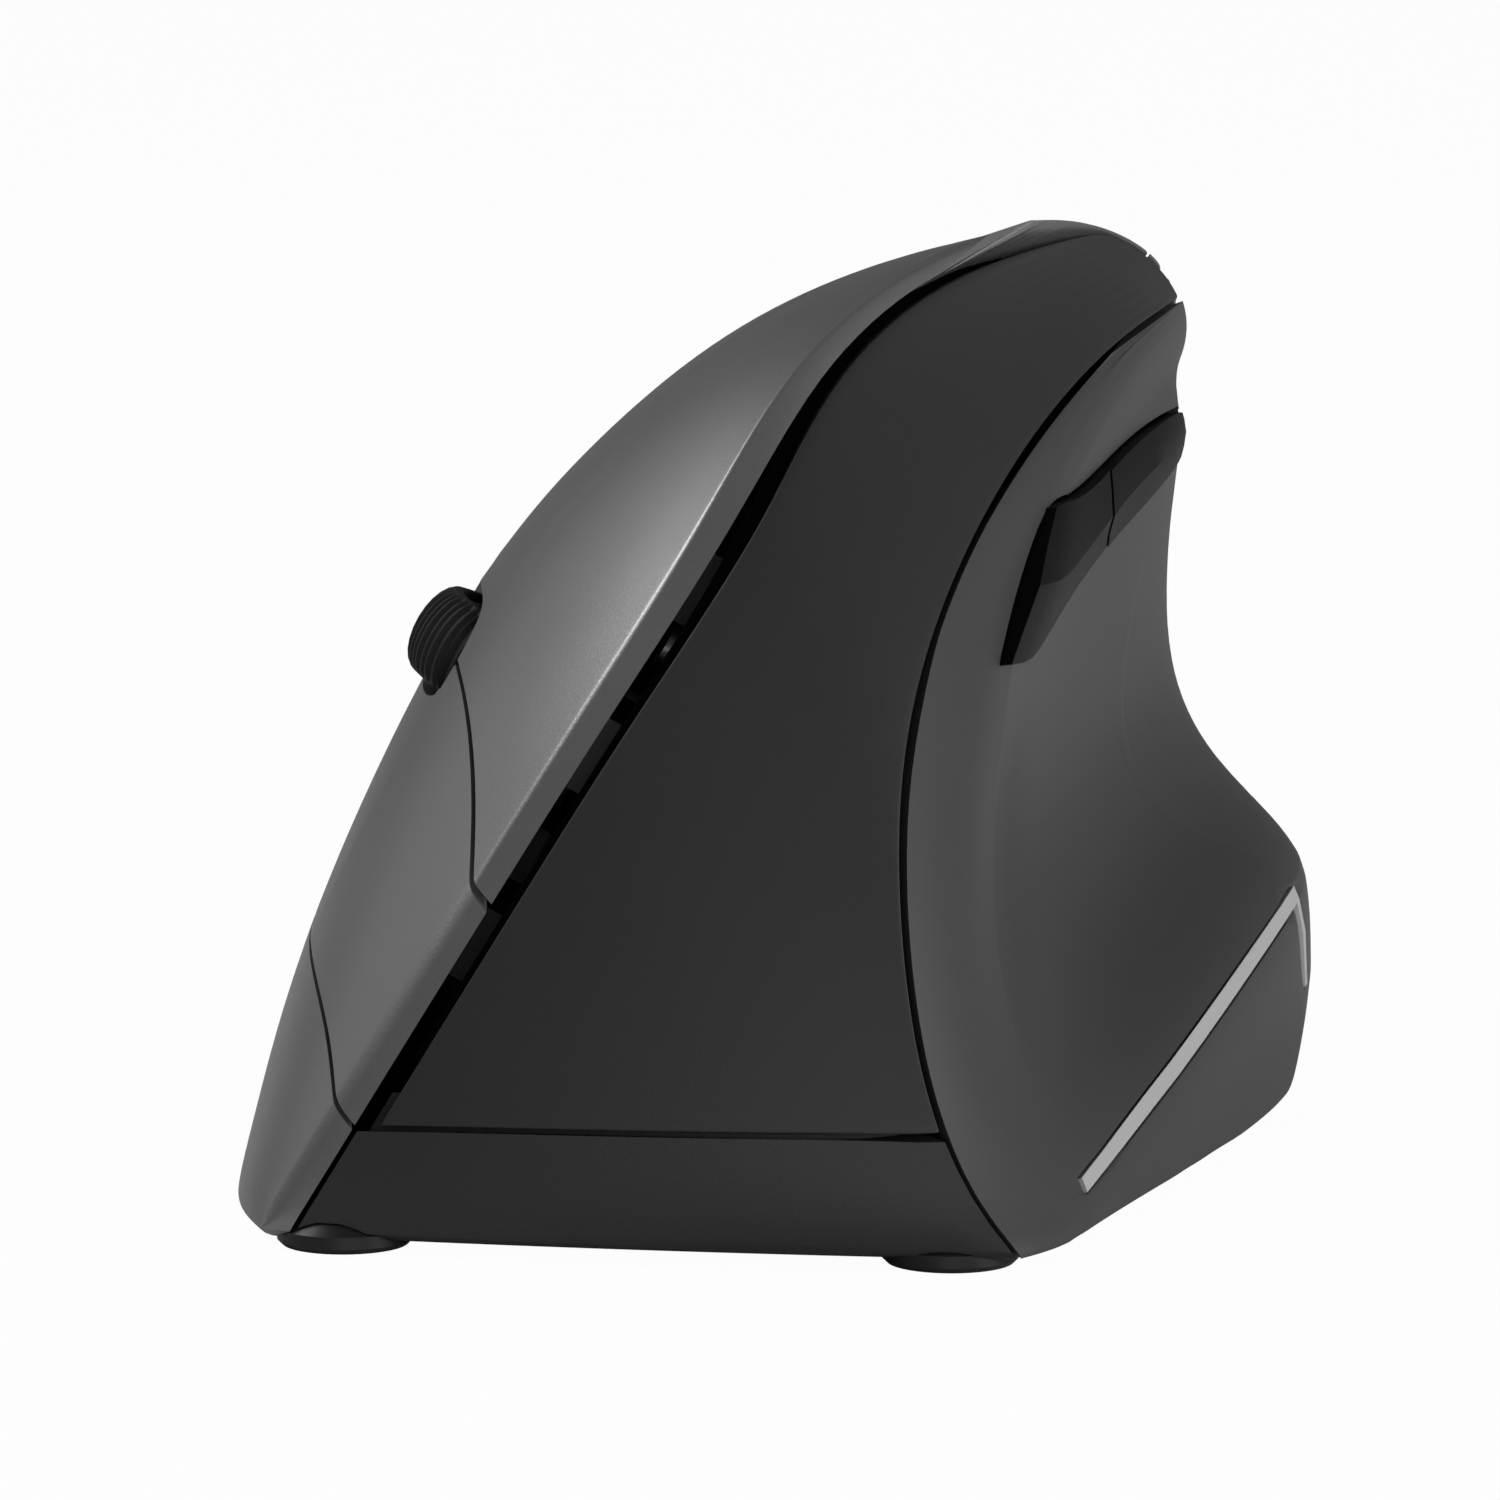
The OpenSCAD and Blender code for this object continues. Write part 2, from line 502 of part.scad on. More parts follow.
module accent_strip() {
  fit = 0.08;
  inset = strip_half - lip - fit;
  cells = 11;
  u_lines = [[strip_tip, lip + fit], [mix(strip_tip, strip_u, 0.5), 0], [strip_u, -inset], [strip_u, inset]];
  rows = len(u_lines) - 1;
  places = [for (line = u_lines) [for (j = [0:cells]) let (
      w = j <= 1 ? strip_rear : mix(strip_rear, strip_front, (j - 1) / (cells - 1)))
    moved(thumb, [line[0] * strip_fall(w), w], [line[1], j == 0 ? -inset : j == 1 ? inset : j == cells ? -lip - fit : 0])]];
  outer = [for (row = places) [for (p = row) at(thumb, p)]];
  color("#9a9a9a") skin(outer, inner_points(thumb, places, strip_depth - fit),
    function(i, j) i == rows - 1 || j == 0);
}

// Frame of the thumb buttons: X to the front, Y down, Z out
thumb_mid_w = 0.64;
thumb_place = [mix(opening_low(thumb_mid_w), opening_high(thumb_mid_w), 0.5), thumb_mid_w];
thumb_deck = frame_at(thumb, thumb_place, along_w(thumb, thumb_place));
module on_thumb() {
  multmatrix(thumb_deck) children();
}
thumb_board_top = -9.8;
tact_size = [6, 6, 3.5];
front_tact = [15.3, 3.7];
rear_tact = [-13.3, -2.4];
tact_pin_end = thumb_board_top + tact_size.z - 0.6;

// Each thumb button has a crease along its length and a pin that reaches its switch.
// Towards the rear the buttons sink until they lie nearly flush.
crease = [0.55, 0.8, 1, 0.75, 0.5];
function button_proud(w) = thumb_button_proud * mix(0.3, 1, ease((w - opening_rear) / 0.35));
module thumb_button(from, to, end_fit, place) {
  cols = 8;
  rows = len(crease) - 1;
  high_fit = button_fit + 0.15;
  places = [for (i = [0:rows]) [for (j = [0:cols]) let (
      w = mix(from(i / rows), to(i / rows), j / cols),
      u = mix(opening_low(w), opening_high(w), i / rows))
    moved(thumb, [u, w], [
      i == 0 ? button_fit : i == rows ? -high_fit : 0,
      j == 0 ? end_fit[0] : j == cols ? -end_fit[1] : 0])]];
  outer = [for (i = [0:rows]) [for (p = places[i])
    at(thumb, p) + normal(thumb, p) * button_proud(p[1]) * crease[i]]];
  color("#151515") {
    skin(outer, inner_points(thumb, places, wall));
    on_thumb() post(place.x, place.y, tact_pin_end, -1, pin_radius);
  }
}

module thumb_button_front() {
  thumb_button(function(s) opening_split(s), function(s) opening_front(s), [button_fit, button_fit], front_tact);
}

module thumb_button_rear() {
  thumb_button(function(s) opening_rear, function(s) opening_split(s), [button_fit + 0.3, button_fit], rear_tact);
}

// Underside
shell_clear = wall + 0.3;
function level_u(net, w, z, u = 0.04, tries = 4) = tries == 0 ? u :
  level_u(net, w, z, u * (z - ride_height) / (at(net, [u, w]).z - ride_height), tries - 1);
function floor_point(net, w, inset) = let (
    p = at(net, [0, w]),
    u = level_u(net, w, floor_top),
    n = normal(net, [u, w]),
    out = level(n),
    lean = min(0, (at(net, [u, w]) - p) * out),
    q = p - out * (inset / (n * out) - lean)
  ) [q.x, q.y];
floor_outline = concat(
  [for (k = [0:24]) floor_point(finger, mix(0.03, 1, k / 24), shell_clear)],
  [for (k = [1:28]) floor_point(thumb, mix(0, 0.93, k / 28), shell_clear + 0.2)],
  [for (k = [0:8]) floor_point(front, mix(0.1, 0.92, k / 8), wall - 0.4)]);
foot_places = [for (p = [[-25.8, -52.7], [18.5, -53.2], [26, 24], [-20, 40]]) placed(p)];
foot_fit = 0.1;
foot_bevel = [0.4, 0.8];

battery_x = 11.5;
battery_front = at(finger, [0, 1]).y - 15.1 - battery_length;
battery_z = floor_top + 0.4 + battery_diameter / 2;
cradle_inside = battery_diameter / 2 + 0.4;
cradle_wall = 1.2;
door_size = [17.2, 57.7, 1.2];
door_front = battery_front - 4;
door_fit = 0.2;
recess_depth = door_size.z + 0.2;

leg_radius = 3;
screw_radius = 1;
screw_head = [2.1, 1.1];
screw_length = 8;
// The main board lies under the deck and goes with it
board_x = in_frame(deck, [0, 0, 0]).x;
sensor_place = [board_x + 12.2, -16];
power_place = [board_x + 12.2, 6];
board_pins = [for (p = [[2.2, -38], [20.2, -38], [2.2, 13], [20.2, 13]]) [board_x + p.x, p.y]];
board_pin_radius = 0.95;

// A foot is bevelled at the sole and more at its top, and its pocket follows it all round
module foot(p, fit, bottom) {
  r = foot_diameter / 2 + fit;
  top = foot_height + fit;
  sole = bottom < 0 ? 0 : foot_bevel[0];
  translate([p.x, p.y, 0])
    rotate_extrude()
      polygon([[0, bottom], [r - sole, bottom], [r, bottom + sole], [r, top - foot_bevel[1]],
        [r - foot_bevel[1], top], [0, top]]);
}

module foot_pocket(p) {
  foot(p, foot_fit, -2);
}

module foot_pockets() {
  for (p = foot_places) foot_pocket(p);
}

module floor_plate() {
  difference() {
    translate([0, 0, ride_height]) linear_extrude(floor_thickness) polygon(floor_outline);
    foot_pockets();
    // recess that the door slides in, and the opening behind it
    block([battery_x - door_size.x / 2 - door_fit, door_front - door_travel - door_fit, ride_height - 1],
      [battery_x + door_size.x / 2 + door_fit, door_front + door_size.y + door_fit, ride_height + recess_depth]);
    block([battery_x - cradle_inside, battery_front - 2.2, ride_height],
      [battery_x + cradle_inside, battery_front + battery_length + 1.8, floor_top + 1]);
    for (p = leg_points) {
      post(p.x, p.y, ride_height - 1, floor_top + 1, screw_radius + 0.1);
      post(p.x, p.y, ride_height - 1, ride_height + screw_head[1] + 0.1, screw_head[0] + 0.2);
    }
    post(sensor_place.x, sensor_place.y, ride_height - 1, floor_top + 1, 3.6);
    block([power_place.x - 2.7, power_place.y - 4.6, ride_height - 1],
      [power_place.x + 2.7, power_place.y + 4.6, ride_height + 1]);
    block([power_place.x - 1.2, power_place.y - 1.2 - power_travel / 2 - 0.3, ride_height],
      [power_place.x + 1.2, power_place.y + 1.2 + power_travel / 2 + 0.3, floor_top + 1]);
  }
}

module battery_cradle() {
  back = battery_front + battery_length;
  for (side = [-1, 1])
    translate([battery_x + side * (cradle_inside + cradle_wall / 2), (battery_front + back) / 2, floor_top + 3])
      cube([cradle_wall, battery_length + 8, 8], center = true);
  for (y = [battery_front - 3.4, back + 3])
    translate([battery_x, y, floor_top + 5])
      cube([2 * cradle_inside, cradle_wall, 12], center = true);
}

module base_case() {
  color("#2b2b2c") {
    floor_plate();
    difference() {
      base_strip();
      foot_pockets();
    }
    battery_cradle();
    for (p = board_pins) {
      post(p.x, p.y, floor_top - 0.5, board_bottom, 2);
      post(p.x, p.y, board_bottom - 0.5, main_board_top + 0.8, board_pin_radius);
    }
  }
}

module feet() {
  color("#1a1a1a")
    for (p = foot_places) foot(p, 0, 0);
}

module battery_door() {
  grip = 0.4;
  color("#2a2a2b")
    difference() {
      translate([battery_x - door_size.x / 2, door_front, ride_height]) cube(door_size);
      for (k = [0:3])
        translate([battery_x, door_front + door_size.y - 8 - 2.4 * k, ride_height])
          rotate([0, 90, 0]) cylinder(r = grip, h = 9, center = true);
    }
}

module battery() {
  r = battery_diameter / 2;
  nub = 1.2;
  color("#6c7a6a")
    translate([battery_x, battery_front, battery_z])
      rotate([-90, 0, 0])
        rotate_extrude()
          polygon([[0, 0], [2.75, 0], [2.75, nub], [r - 0.5, nub], [r, nub + 0.5], [r, battery_length - 0.5],
            [r - 0.5, battery_length], [0, battery_length]]);
}

module battery_contacts() {
  thin = 0.5;
  back = battery_front + battery_length;
  color("#c9c6bd") {
    block([battery_x - 4.5, battery_front - thin - 0.1, battery_z - 5],
      [battery_x + 4.5, battery_front - 0.1, battery_z + 5]);
    block([battery_x - 4.5, back + 1.6, battery_z - 5], [battery_x + 4.5, back + 1.6 + thin, battery_z + 5]);
    translate([battery_x, back + 0.1, battery_z]) rotate([-90, 0, 0]) cylinder(r1 = 2.2, r2 = 4, h = 1.6);
  }
}

// The slider pokes through the floor into a switch that hangs under the board
module power_slider() {
  color("#4a4a4a") {
    block([power_place.x - 2.2, power_place.y - 2 - power_travel / 2, ride_height + 0.2],
      [power_place.x + 2.2, power_place.y + 2 - power_travel / 2, ride_height + 0.8]);
    block([power_place.x - 0.9, power_place.y - 1.2 - power_travel / 2, ride_height + 0.5],
      [power_place.x + 0.9, power_place.y + 1.2 - power_travel / 2, floor_top + 1.6]);
  }
}

module power_switch() {
  color("#b8b8b8")
    difference() {
      block([power_place.x - 2.2, power_place.y - 5, floor_top + 0.4],
        [power_place.x + 2.2, power_place.y + 5, board_bottom]);
      block([power_place.x - 1.1, power_place.y - 1.5 - power_travel / 2, floor_top],
        [power_place.x + 1.1, power_place.y + 1.5 + power_travel / 2, floor_top + 2.2]);
    }
}

module main_board() {
  color("#1f4a32")
    difference() {
      block([board_x - 0.3, -41, board_bottom], [board_x + 22.7, 16, main_board_top]);
      for (p = leg_points) post(p.x, p.y, 0, main_board_top + 1, leg_radius + 0.5);
      for (p = board_pins) post(p.x, p.y, 0, main_board_top + 1, board_pin_radius + 0.1);
      post(sensor_place.x, sensor_place.y, 0, main_board_top + 1, 2.5);
    }
}

module board_parts() {
  color("#202020") {
    block([board_x + 9.2, -7, main_board_top], [board_x + 15.2, -1, main_board_top + 1]);
    block([board_x + 18.7, -22, main_board_top], [board_x + 21.2, -14, main_board_top + 1.5]);
    post(board_x + 17.2, -31, main_board_top, main_board_top + 6, 2.5);
  }
}

module sensor() {
  color("#181818")
    block([sensor_place.x - 5, sensor_place.y - 6, main_board_top],
      [sensor_place.x + 5, sensor_place.y + 6, main_board_top + 2.5]);
}

module lens() {
  color("#c8d4d8") {
    block([sensor_place.x - 5, sensor_place.y - 9, floor_top + 0.2],
      [sensor_place.x + 5, sensor_place.y + 9, board_bottom - 0.2]);
    post(sensor_place.x, sensor_place.y, ride_height + 0.8, floor_top + 1, 3.4);
  }
}

// Chassis: a deck under the button board on three legs, with an arm for the thumb board
board_window = [13.5, 8.5];
board_screw_places = [[-17.8, -9], [24, -16], [-17, deck_low - 2.5], [26, deck_low - 3]];
board_screw_radius = 0.8;

module chassis() {
  arm_bottom = thumb_board_top - board_thickness - 2;
  color("#101010")
    difference() {
      union() {
        on_deck() {
          difference() {
            block([deck_ends[0], -19.5, deck_bottom], [deck_ends[1], deck_low, deck_top]);
            block([-board_window.x - 1, -board_window.y - 1, deck_bottom - 1],
              [board_window.x + 1, board_window.y + 1, deck_top + 1]);
          }
          for (p = board_screw_places) post(p.x, p.y, deck_top - 0.5, board_top - board_thickness, 2);
        }
        for (p = leg_points) post(p.x, p.y, floor_top + 0.1, p.z, leg_radius);
        strut(leg_points[2] - [0, 0, 3], in_frame(thumb_deck, [0, 2, arm_bottom + 0.2]), 2);
        on_thumb() block([-16, -3, arm_bottom], [17, 6, arm_bottom + 1.95]);
      }
      for (p = leg_points)
        post(p.x, p.y, floor_top - 1, ride_height + screw_head[1] + screw_length + 0.5, screw_radius + 0.05);
      on_deck()
        for (p = board_screw_places) post(p.x, p.y, deck_bottom + 0.5, board_top, board_screw_radius + 0.05);
    }
}

module case_screws() {
  color("#8d8d8d")
    for (p = leg_points)
      difference() {
        union() {
          post(p.x, p.y, ride_height, ride_height + screw_head[1], screw_head[0]);
          post(p.x, p.y, ride_height + 0.5, ride_height + screw_head[1] + screw_length, screw_radius);
        }
        for (turn = [0, 90])
          translate([p.x, p.y, ride_height]) rotate(turn) cube([2.6, 0.6, 1.2], center = true);
      }
}

module button_board() {
  color("#1f4a32")
    on_deck()
      difference() {
        union() {
          block([-20, -20, board_top - board_thickness], [30, deck_low + 1, board_top]);
          block([-26, -6, board_top - board_thickness], [0, 6, board_top]);
        }
        block([-board_window.x, -board_window.y, board_top - 3], [board_window.x, board_window.y, board_top + 1]);
        for (p = board_screw_places) post(p.x, p.y, board_top - 3, board_top + 1, board_screw_radius + 0.05);
        for (x = carrier_pegs) post(x, 0, board_top - 3, board_top + 1, peg_radius + 0.1);
      }
}

module board_screws() {
  color("#8d8d8d")
    on_deck()
      for (p = board_screw_places) {
        post(p.x, p.y, board_top, board_top + 1.1, 1.6);
        post(p.x, p.y, deck_top, board_top + 0.5, board_screw_radius);
      }
}

module key_switches() {
  color("#2a2a2a")
    on_deck()
      for (p = [left_switch, right_switch])
        difference() {
          translate([p.x - switch_size.x / 2, p.y - switch_size.y / 2, board_top]) cube(switch_size);
          post(p.x, p.y, board_top + switch_size.z - 2.2, board_top + switch_size.z + 1, pin_radius + pin_fit);
        }
}

// Wheel: hub, ribbed tyre and axle turn in a carrier that can be pressed
axle_depth = wheel_proud - wheel_diameter / 2;
hub_radius = wheel_diameter / 2 - 2.2;
wheel_press = 0.4;
module on_axle() {
  on_deck() translate([0, 0, axle_depth]) rotate([90, 0, 0]) children();
}

module wheel_hub() {
  bore = axle_diameter / 2 + 0.05;
  boss = 3;
  web = 1.2;
  rim = wheel_width / 2 - 0.6;
  holes = 6;
  color("#3a3a3a")
    on_axle()
      difference() {
        rotate_extrude()
          polygon([[bore, -wheel_width / 2], [boss, -wheel_width / 2], [boss + 0.4, -web], [hub_radius - 1.4, -web],
            [hub_radius - 1.2, -rim], [hub_radius, -rim], [hub_radius, rim], [hub_radius - 1.2, rim],
            [hub_radius - 1.4, web], [boss + 0.4, web], [boss, wheel_width / 2], [bore, wheel_width / 2]]);
        for (k = [0:holes - 1])
          rotate(360 * k / holes) translate([5.6, 0, 0]) cylinder(r = 1.4, h = 4, center = true);
      }
}

module wheel_tyre() {
  r = wheel_diameter / 2;
  rib = 0.35;
  pitch = 360 / wheel_ribs;
  half = wheel_width / 2;
  crown = 1.7;
  color("#141414")
    on_axle()
      difference() {
        intersection() {
          linear_extrude(wheel_width, center = true)
            polygon([for (k = [0:wheel_ribs - 1]) for (q = [[0, 0], [0.4, 0], [0.5, -rib], [0.9, -rib]])
              (r + q[1]) * [cos((k + q[0]) * pitch), sin((k + q[0]) * pitch)]]);
          rotate_extrude()
            polygon([[0, -half], for (a = [-90:15:90]) [r - crown + crown * cos(a), half * sin(a)], [0, half]]);
        }
        cylinder(r = hub_radius + 0.02, h = wheel_width + 2, center = true);
      }
}

encoder_y = [8.7, 13.2];
module wheel_axle() {
  reach = encoder_y[1] - 0.8;
  color("#b9bcc0") on_axle() translate([0, 0, -reach]) cylinder(d = axle_diameter, h = reach + 6.2);
}

carrier_pegs = [-16.8, 17];
peg_radius = 1.2;
carrier_side = [wheel_width / 2 + 0.5, wheel_width / 2 + 2.3];
carrier_z = [axle_depth - 2, axle_depth + 2];
wheel_switch_x = -22;
wheel_switch_top = board_top + 3;
wheel_pin_end = wheel_switch_top - 0.6;
// The carrier's arm stays clear of the switch when the wheel is pressed
arm_low = wheel_switch_top + wheel_press + 0.3;
module wheel_carrier() {
  color("#232323")
    on_deck()
      difference() {
        union() {
          block([-14.5, -carrier_side[1], carrier_z[0]], [14.5, carrier_side[1], carrier_z[1]]);
          block([-25, -3, arm_low], [19.5, 3, arm_low + 1.5]);
          for (x = carrier_pegs) post(x, 0, board_top - 2.4, arm_low + 1, peg_radius);
          post(wheel_switch_x, 0, wheel_pin_end, arm_low + 1, 1);
        }
        block([-12.5, -carrier_side[0], carrier_z[0] - 1], [12.5, carrier_side[0], carrier_z[1] + 1]);
        translate([0, 0, axle_depth]) rotate([90, 0, 0]) cylinder(d = axle_diameter + 0.1, h = 40, center = true);
      }
}

module encoder() {
  slot = axle_diameter / 2 + 0.15;
  color("#2d4a6a")
    on_deck()
      difference() {
        block([-5.5, encoder_y[0], board_top], [5.5, encoder_y[1], axle_depth + 4.5]);
        for (z = [0, -wheel_press])
          translate([0, 0, axle_depth + z]) rotate([90, 0, 0]) cylinder(r = slot, h = 40, center = true);
        block([-slot, encoder_y[0] - 1, axle_depth - wheel_press], [slot, encoder_y[1] + 1, axle_depth]);
      }
}

module wheel_switch() {
  color("#2a2a2a")
    on_deck()
      difference() {
        block([wheel_switch_x - 3, -3, board_top], [wheel_switch_x + 3, 3, wheel_switch_top]);
        post(wheel_switch_x, 0, wheel_switch_top - 1.6, wheel_switch_top + 1, 1.3);
      }
}

// Resolution button behind the wheel
dpi_deck = frame_at(finger, on_split(dpi_w), along_split(dpi_w));
dpi_switch_place = [26.3, 0];
dpi_switch_top = board_top + 3.5;
dpi_flange = [-wall - 2.4, -wall - 1.4];
dpi_proud = 0.7;
module stadium(length, width, from, to) {
  translate([-(length - width) / 2, -width / 2, from]) cube([length - width, width, to - from]);
  for (side = [-1, 1]) post(side * (length - width) / 2, 0, from, to, width / 2);
}

module dpi_button() {
  color("#151515") {
    multmatrix(dpi_deck) {
      stadium(dpi_length, dpi_width, dpi_flange[0], dpi_proud);
      stadium(dpi_length + 2, dpi_width + 2, dpi_flange[0], dpi_flange[1]);
    }
    on_deck() post(dpi_switch_place.x, dpi_switch_place.y, dpi_switch_top - 0.6, -5.5, pin_radius);
  }
}

module dpi_switch() {
  color("#2a2a2a")
    on_deck()
      difference() {
        block([dpi_switch_place.x - 3, -3, board_top], [dpi_switch_place.x + 3, 3, dpi_switch_top]);
        post(dpi_switch_place.x, 0, dpi_switch_top - 1.6, dpi_switch_top + 1, pin_radius + pin_fit);
      }
}

module thumb_board() {
  color("#1f4a32")
    on_thumb() block([-20, -5.8, thumb_board_top - board_thickness], [21, 8, thumb_board_top]);
}

module thumb_switches() {
  color("#2a2a2a")
    on_thumb()
      for (p = [front_tact, rear_tact])
        difference() {
          translate([p.x - tact_size.x / 2, p.y - tact_size.y / 2, thumb_board_top]) cube(tact_size);
          post(p.x, p.y, thumb_board_top + tact_size.z - 1.6, thumb_board_top + tact_size.z + 1, pin_radius + pin_fit);
        }
}

key_left();
key_right();
palm_cover();
front_panel();
thumb_panel();
accent_strip();
thumb_button_front();
thumb_button_rear();
ridge_frame();
base_case();
feet();
battery_door();
battery();
battery_contacts();
power_slider();
power_switch();
main_board();
board_parts();
sensor();
lens();
chassis();
case_screws();
button_board();
board_screws();
key_switches();
wheel_hub();
wheel_tyre();
wheel_axle();
wheel_carrier();
encoder();
wheel_switch();
dpi_button();
dpi_switch();
thumb_board();
thumb_switches();
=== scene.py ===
"""Looks of a vertical ergonomic mouse: shells, wheel, buttons, underside, finishes and stage."""
import json
import math

import bmesh
import bpy
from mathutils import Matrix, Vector, kdtree


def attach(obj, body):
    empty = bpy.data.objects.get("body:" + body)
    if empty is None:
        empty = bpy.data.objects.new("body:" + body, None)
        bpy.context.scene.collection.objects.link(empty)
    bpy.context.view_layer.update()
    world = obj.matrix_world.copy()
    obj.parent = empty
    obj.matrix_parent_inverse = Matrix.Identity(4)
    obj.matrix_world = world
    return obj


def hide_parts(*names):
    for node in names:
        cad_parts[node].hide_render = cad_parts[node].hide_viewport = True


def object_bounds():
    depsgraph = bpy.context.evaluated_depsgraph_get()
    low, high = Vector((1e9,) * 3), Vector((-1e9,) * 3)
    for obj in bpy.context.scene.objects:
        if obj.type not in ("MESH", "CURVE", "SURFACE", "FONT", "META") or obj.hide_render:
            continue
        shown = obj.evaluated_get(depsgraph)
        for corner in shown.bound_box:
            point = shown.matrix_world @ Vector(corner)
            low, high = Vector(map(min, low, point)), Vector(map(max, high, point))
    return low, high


bl_info = {
    "name": "Vertical mouse",
    "version": (1, 0, 0),
    "blender": (4, 5, 0),
    "location": "View3D > Sidebar > Mouse",
    "description": "Dresses the solids of a vertical mouse and sets up a studio round it",
    "category": "Object",
}

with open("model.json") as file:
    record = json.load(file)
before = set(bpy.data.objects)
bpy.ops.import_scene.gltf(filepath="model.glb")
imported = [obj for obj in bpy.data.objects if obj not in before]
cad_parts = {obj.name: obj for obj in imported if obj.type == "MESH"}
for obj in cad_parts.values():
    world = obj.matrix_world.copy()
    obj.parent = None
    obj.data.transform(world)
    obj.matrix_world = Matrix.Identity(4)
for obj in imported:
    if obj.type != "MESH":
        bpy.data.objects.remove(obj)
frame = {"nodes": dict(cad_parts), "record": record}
cad_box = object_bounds()

MM = 0.001
BODY_OF = {node: body for body, nodes in frame["record"]["behaviour"]["bodies"].items() for node in nodes}

# Angles between two faces at which an edge counts as part of the ridge, as sharp or as a fold
RIDGE = math.radians(20)
SHARP = math.radians(38)
FOLDED = math.radians(140)

# Angles over which an edge stays crisp when a shell or a button is shaded smooth
SHELL_CORNER = math.radians(35)
BUTTON_CORNER = math.radians(14)

# How close corners are merged in a copied mesh, and how bent and skewed a joined pair of triangles may be
MERGE_GAP = 0.004 * MM
QUAD_BEND = math.radians(35)
QUAD_SKEW = math.radians(60)

# Steps across the rounding of the ridge and of the other rims
RIDGE_STEPS = 4
RIM_STEPS = 2

# How much further forward the face in front of the ridge looks than the one behind it
RIDGE_TURN = 0.2

# Depth below the top of the mouse in which the shells meet at the crest, and no edge counts as a fold
CREST_DEPTH = 4.5 * MM

# Edges of the thumb side closer than this to the accent line belong to its groove and stay crisp
LINE_MARGIN = 2.5 * MM

# Tyre: mesh steps along a rib's pitch and round the section
PITCH_STEPS = 4
SECTION_STEPS = 24

# Groove: its start and end as shares of the pitch, and the share of the crown's height that it reaches down
GROOVE_START = 0.4
GROOVE_END = 0.9
GROOVE_REACH = 0.7

# How far a tinted colour strays to the dark and to the light, and how much rougher the thumb side is
TINT = 0.18
THUMB_ROUGHER = 0.08

# Sockets of the Mix node that work on colours
MIX_FACTOR = 0
MIX_LOW = 6
MIX_HIGH = 7
MIX_RESULT = 2

# Studio: side of the floor in metres, share of plain white in what is seen of it, and level of fill light
FLOOR_SIDE = 6
FLOOR_WHITE = 0.97
FILL_LIGHT = 0.17

# Camera: width of its sensor in millimetres, and the nearest distance that it shows in metres
SENSOR_WIDTH = 36
NEAREST = 0.01


# Values that a user would change
class MouseFinishes(bpy.types.PropertyGroup):
    """Colours and gloss of the mouse."""

    finger: bpy.props.FloatVectorProperty(
        name="Finger side", description="Satin metallic grey of the keys and the palm cover",
        subtype="COLOR", size=3, min=0, max=1, default=(0.21, 0.21, 0.212))
    front: bpy.props.FloatVectorProperty(
        name="Front", description="Dark grey of the front panel and the base", subtype="COLOR",
        size=3, min=0, max=1, default=(0.02, 0.02, 0.0205))
    thumb: bpy.props.FloatVectorProperty(
        name="Thumb side", description="Dark grey of the thumb side", subtype="COLOR",
        size=3, min=0, max=1, default=(0.05, 0.05, 0.051))
    accent: bpy.props.FloatVectorProperty(
        name="Accent line", description="Light grey of the line along the skirt", subtype="COLOR",
        size=3, min=0, max=1, default=(0.42, 0.42, 0.42))
    gloss: bpy.props.FloatVectorProperty(
        name="Buttons", description="Deep black of the thumb buttons and the resolution button",
        subtype="COLOR", size=3, min=0, max=1, default=(0.002, 0.002, 0.002))
    rubber: bpy.props.FloatVectorProperty(
        name="Tyre", description="Black rubber of the wheel", subtype="COLOR",
        size=3, min=0, max=1, default=(0.006, 0.006, 0.0055))
    satin: bpy.props.FloatProperty(
        name="Satin", description="Roughness of the satin shells", subtype="FACTOR",
        min=0, max=1, default=0.36)


class MouseShapes(bpy.types.PropertyGroup):
    """Roundings of the shells and form of the tyre."""

    ridge_round: bpy.props.FloatProperty(
        name="Ridge rounding", description="Soft edge of the keys along the front ridge", subtype="DISTANCE",
        unit="LENGTH", min=0, default=1.0 * MM)
    tyre_ribs: bpy.props.IntProperty(
        name="Tyre ribs", description="Ribs round the wheel's tyre", min=40, max=100, default=72)
    tyre_crown: bpy.props.FloatProperty(
        name="Tyre crown", description="How much higher the tyre's middle is than its shoulders",
        subtype="DISTANCE", unit="LENGTH", min=0, default=1.7 * MM)
    groove_depth: bpy.props.FloatProperty(
        name="Groove depth", description="Depth of the grooves between the tyre's ribs", subtype="DISTANCE",
        unit="LENGTH", min=0, default=0.35 * MM)
    rim_round: bpy.props.FloatProperty(
        name="Rim rounding", description="Broken edge along the seams", subtype="DISTANCE",
        unit="LENGTH", min=0, default=0.22 * MM)
    smooth_levels: bpy.props.IntProperty(
        name="Smoothing", description="Subdivision levels of the shells", min=0, max=3, default=2)


class MouseStudio(bpy.types.PropertyGroup):
    """Place and lens of the camera."""

    azimuth: bpy.props.FloatProperty(
        name="Azimuth", description="Turn of the camera round the mouse", subtype="ANGLE",
        unit="ROTATION", default=math.radians(8))
    elevation: bpy.props.FloatProperty(
        name="Elevation", description="Height of the camera's view", subtype="ANGLE",
        unit="ROTATION", default=math.radians(8))
    distance: bpy.props.FloatProperty(
        name="Distance", description="From the camera to its target", subtype="DISTANCE",
        unit="LENGTH", default=0.6)
    target: bpy.props.FloatVectorProperty(
        name="Target", description="Point in the middle of the picture", subtype="TRANSLATION",
        unit="LENGTH", size=3, default=(0.0004, -0.03, 0.0336))
    lens: bpy.props.FloatProperty(
        name="Lens", description="Focal length for a 36 mm sensor", subtype="DISTANCE_CAMERA", default=193)


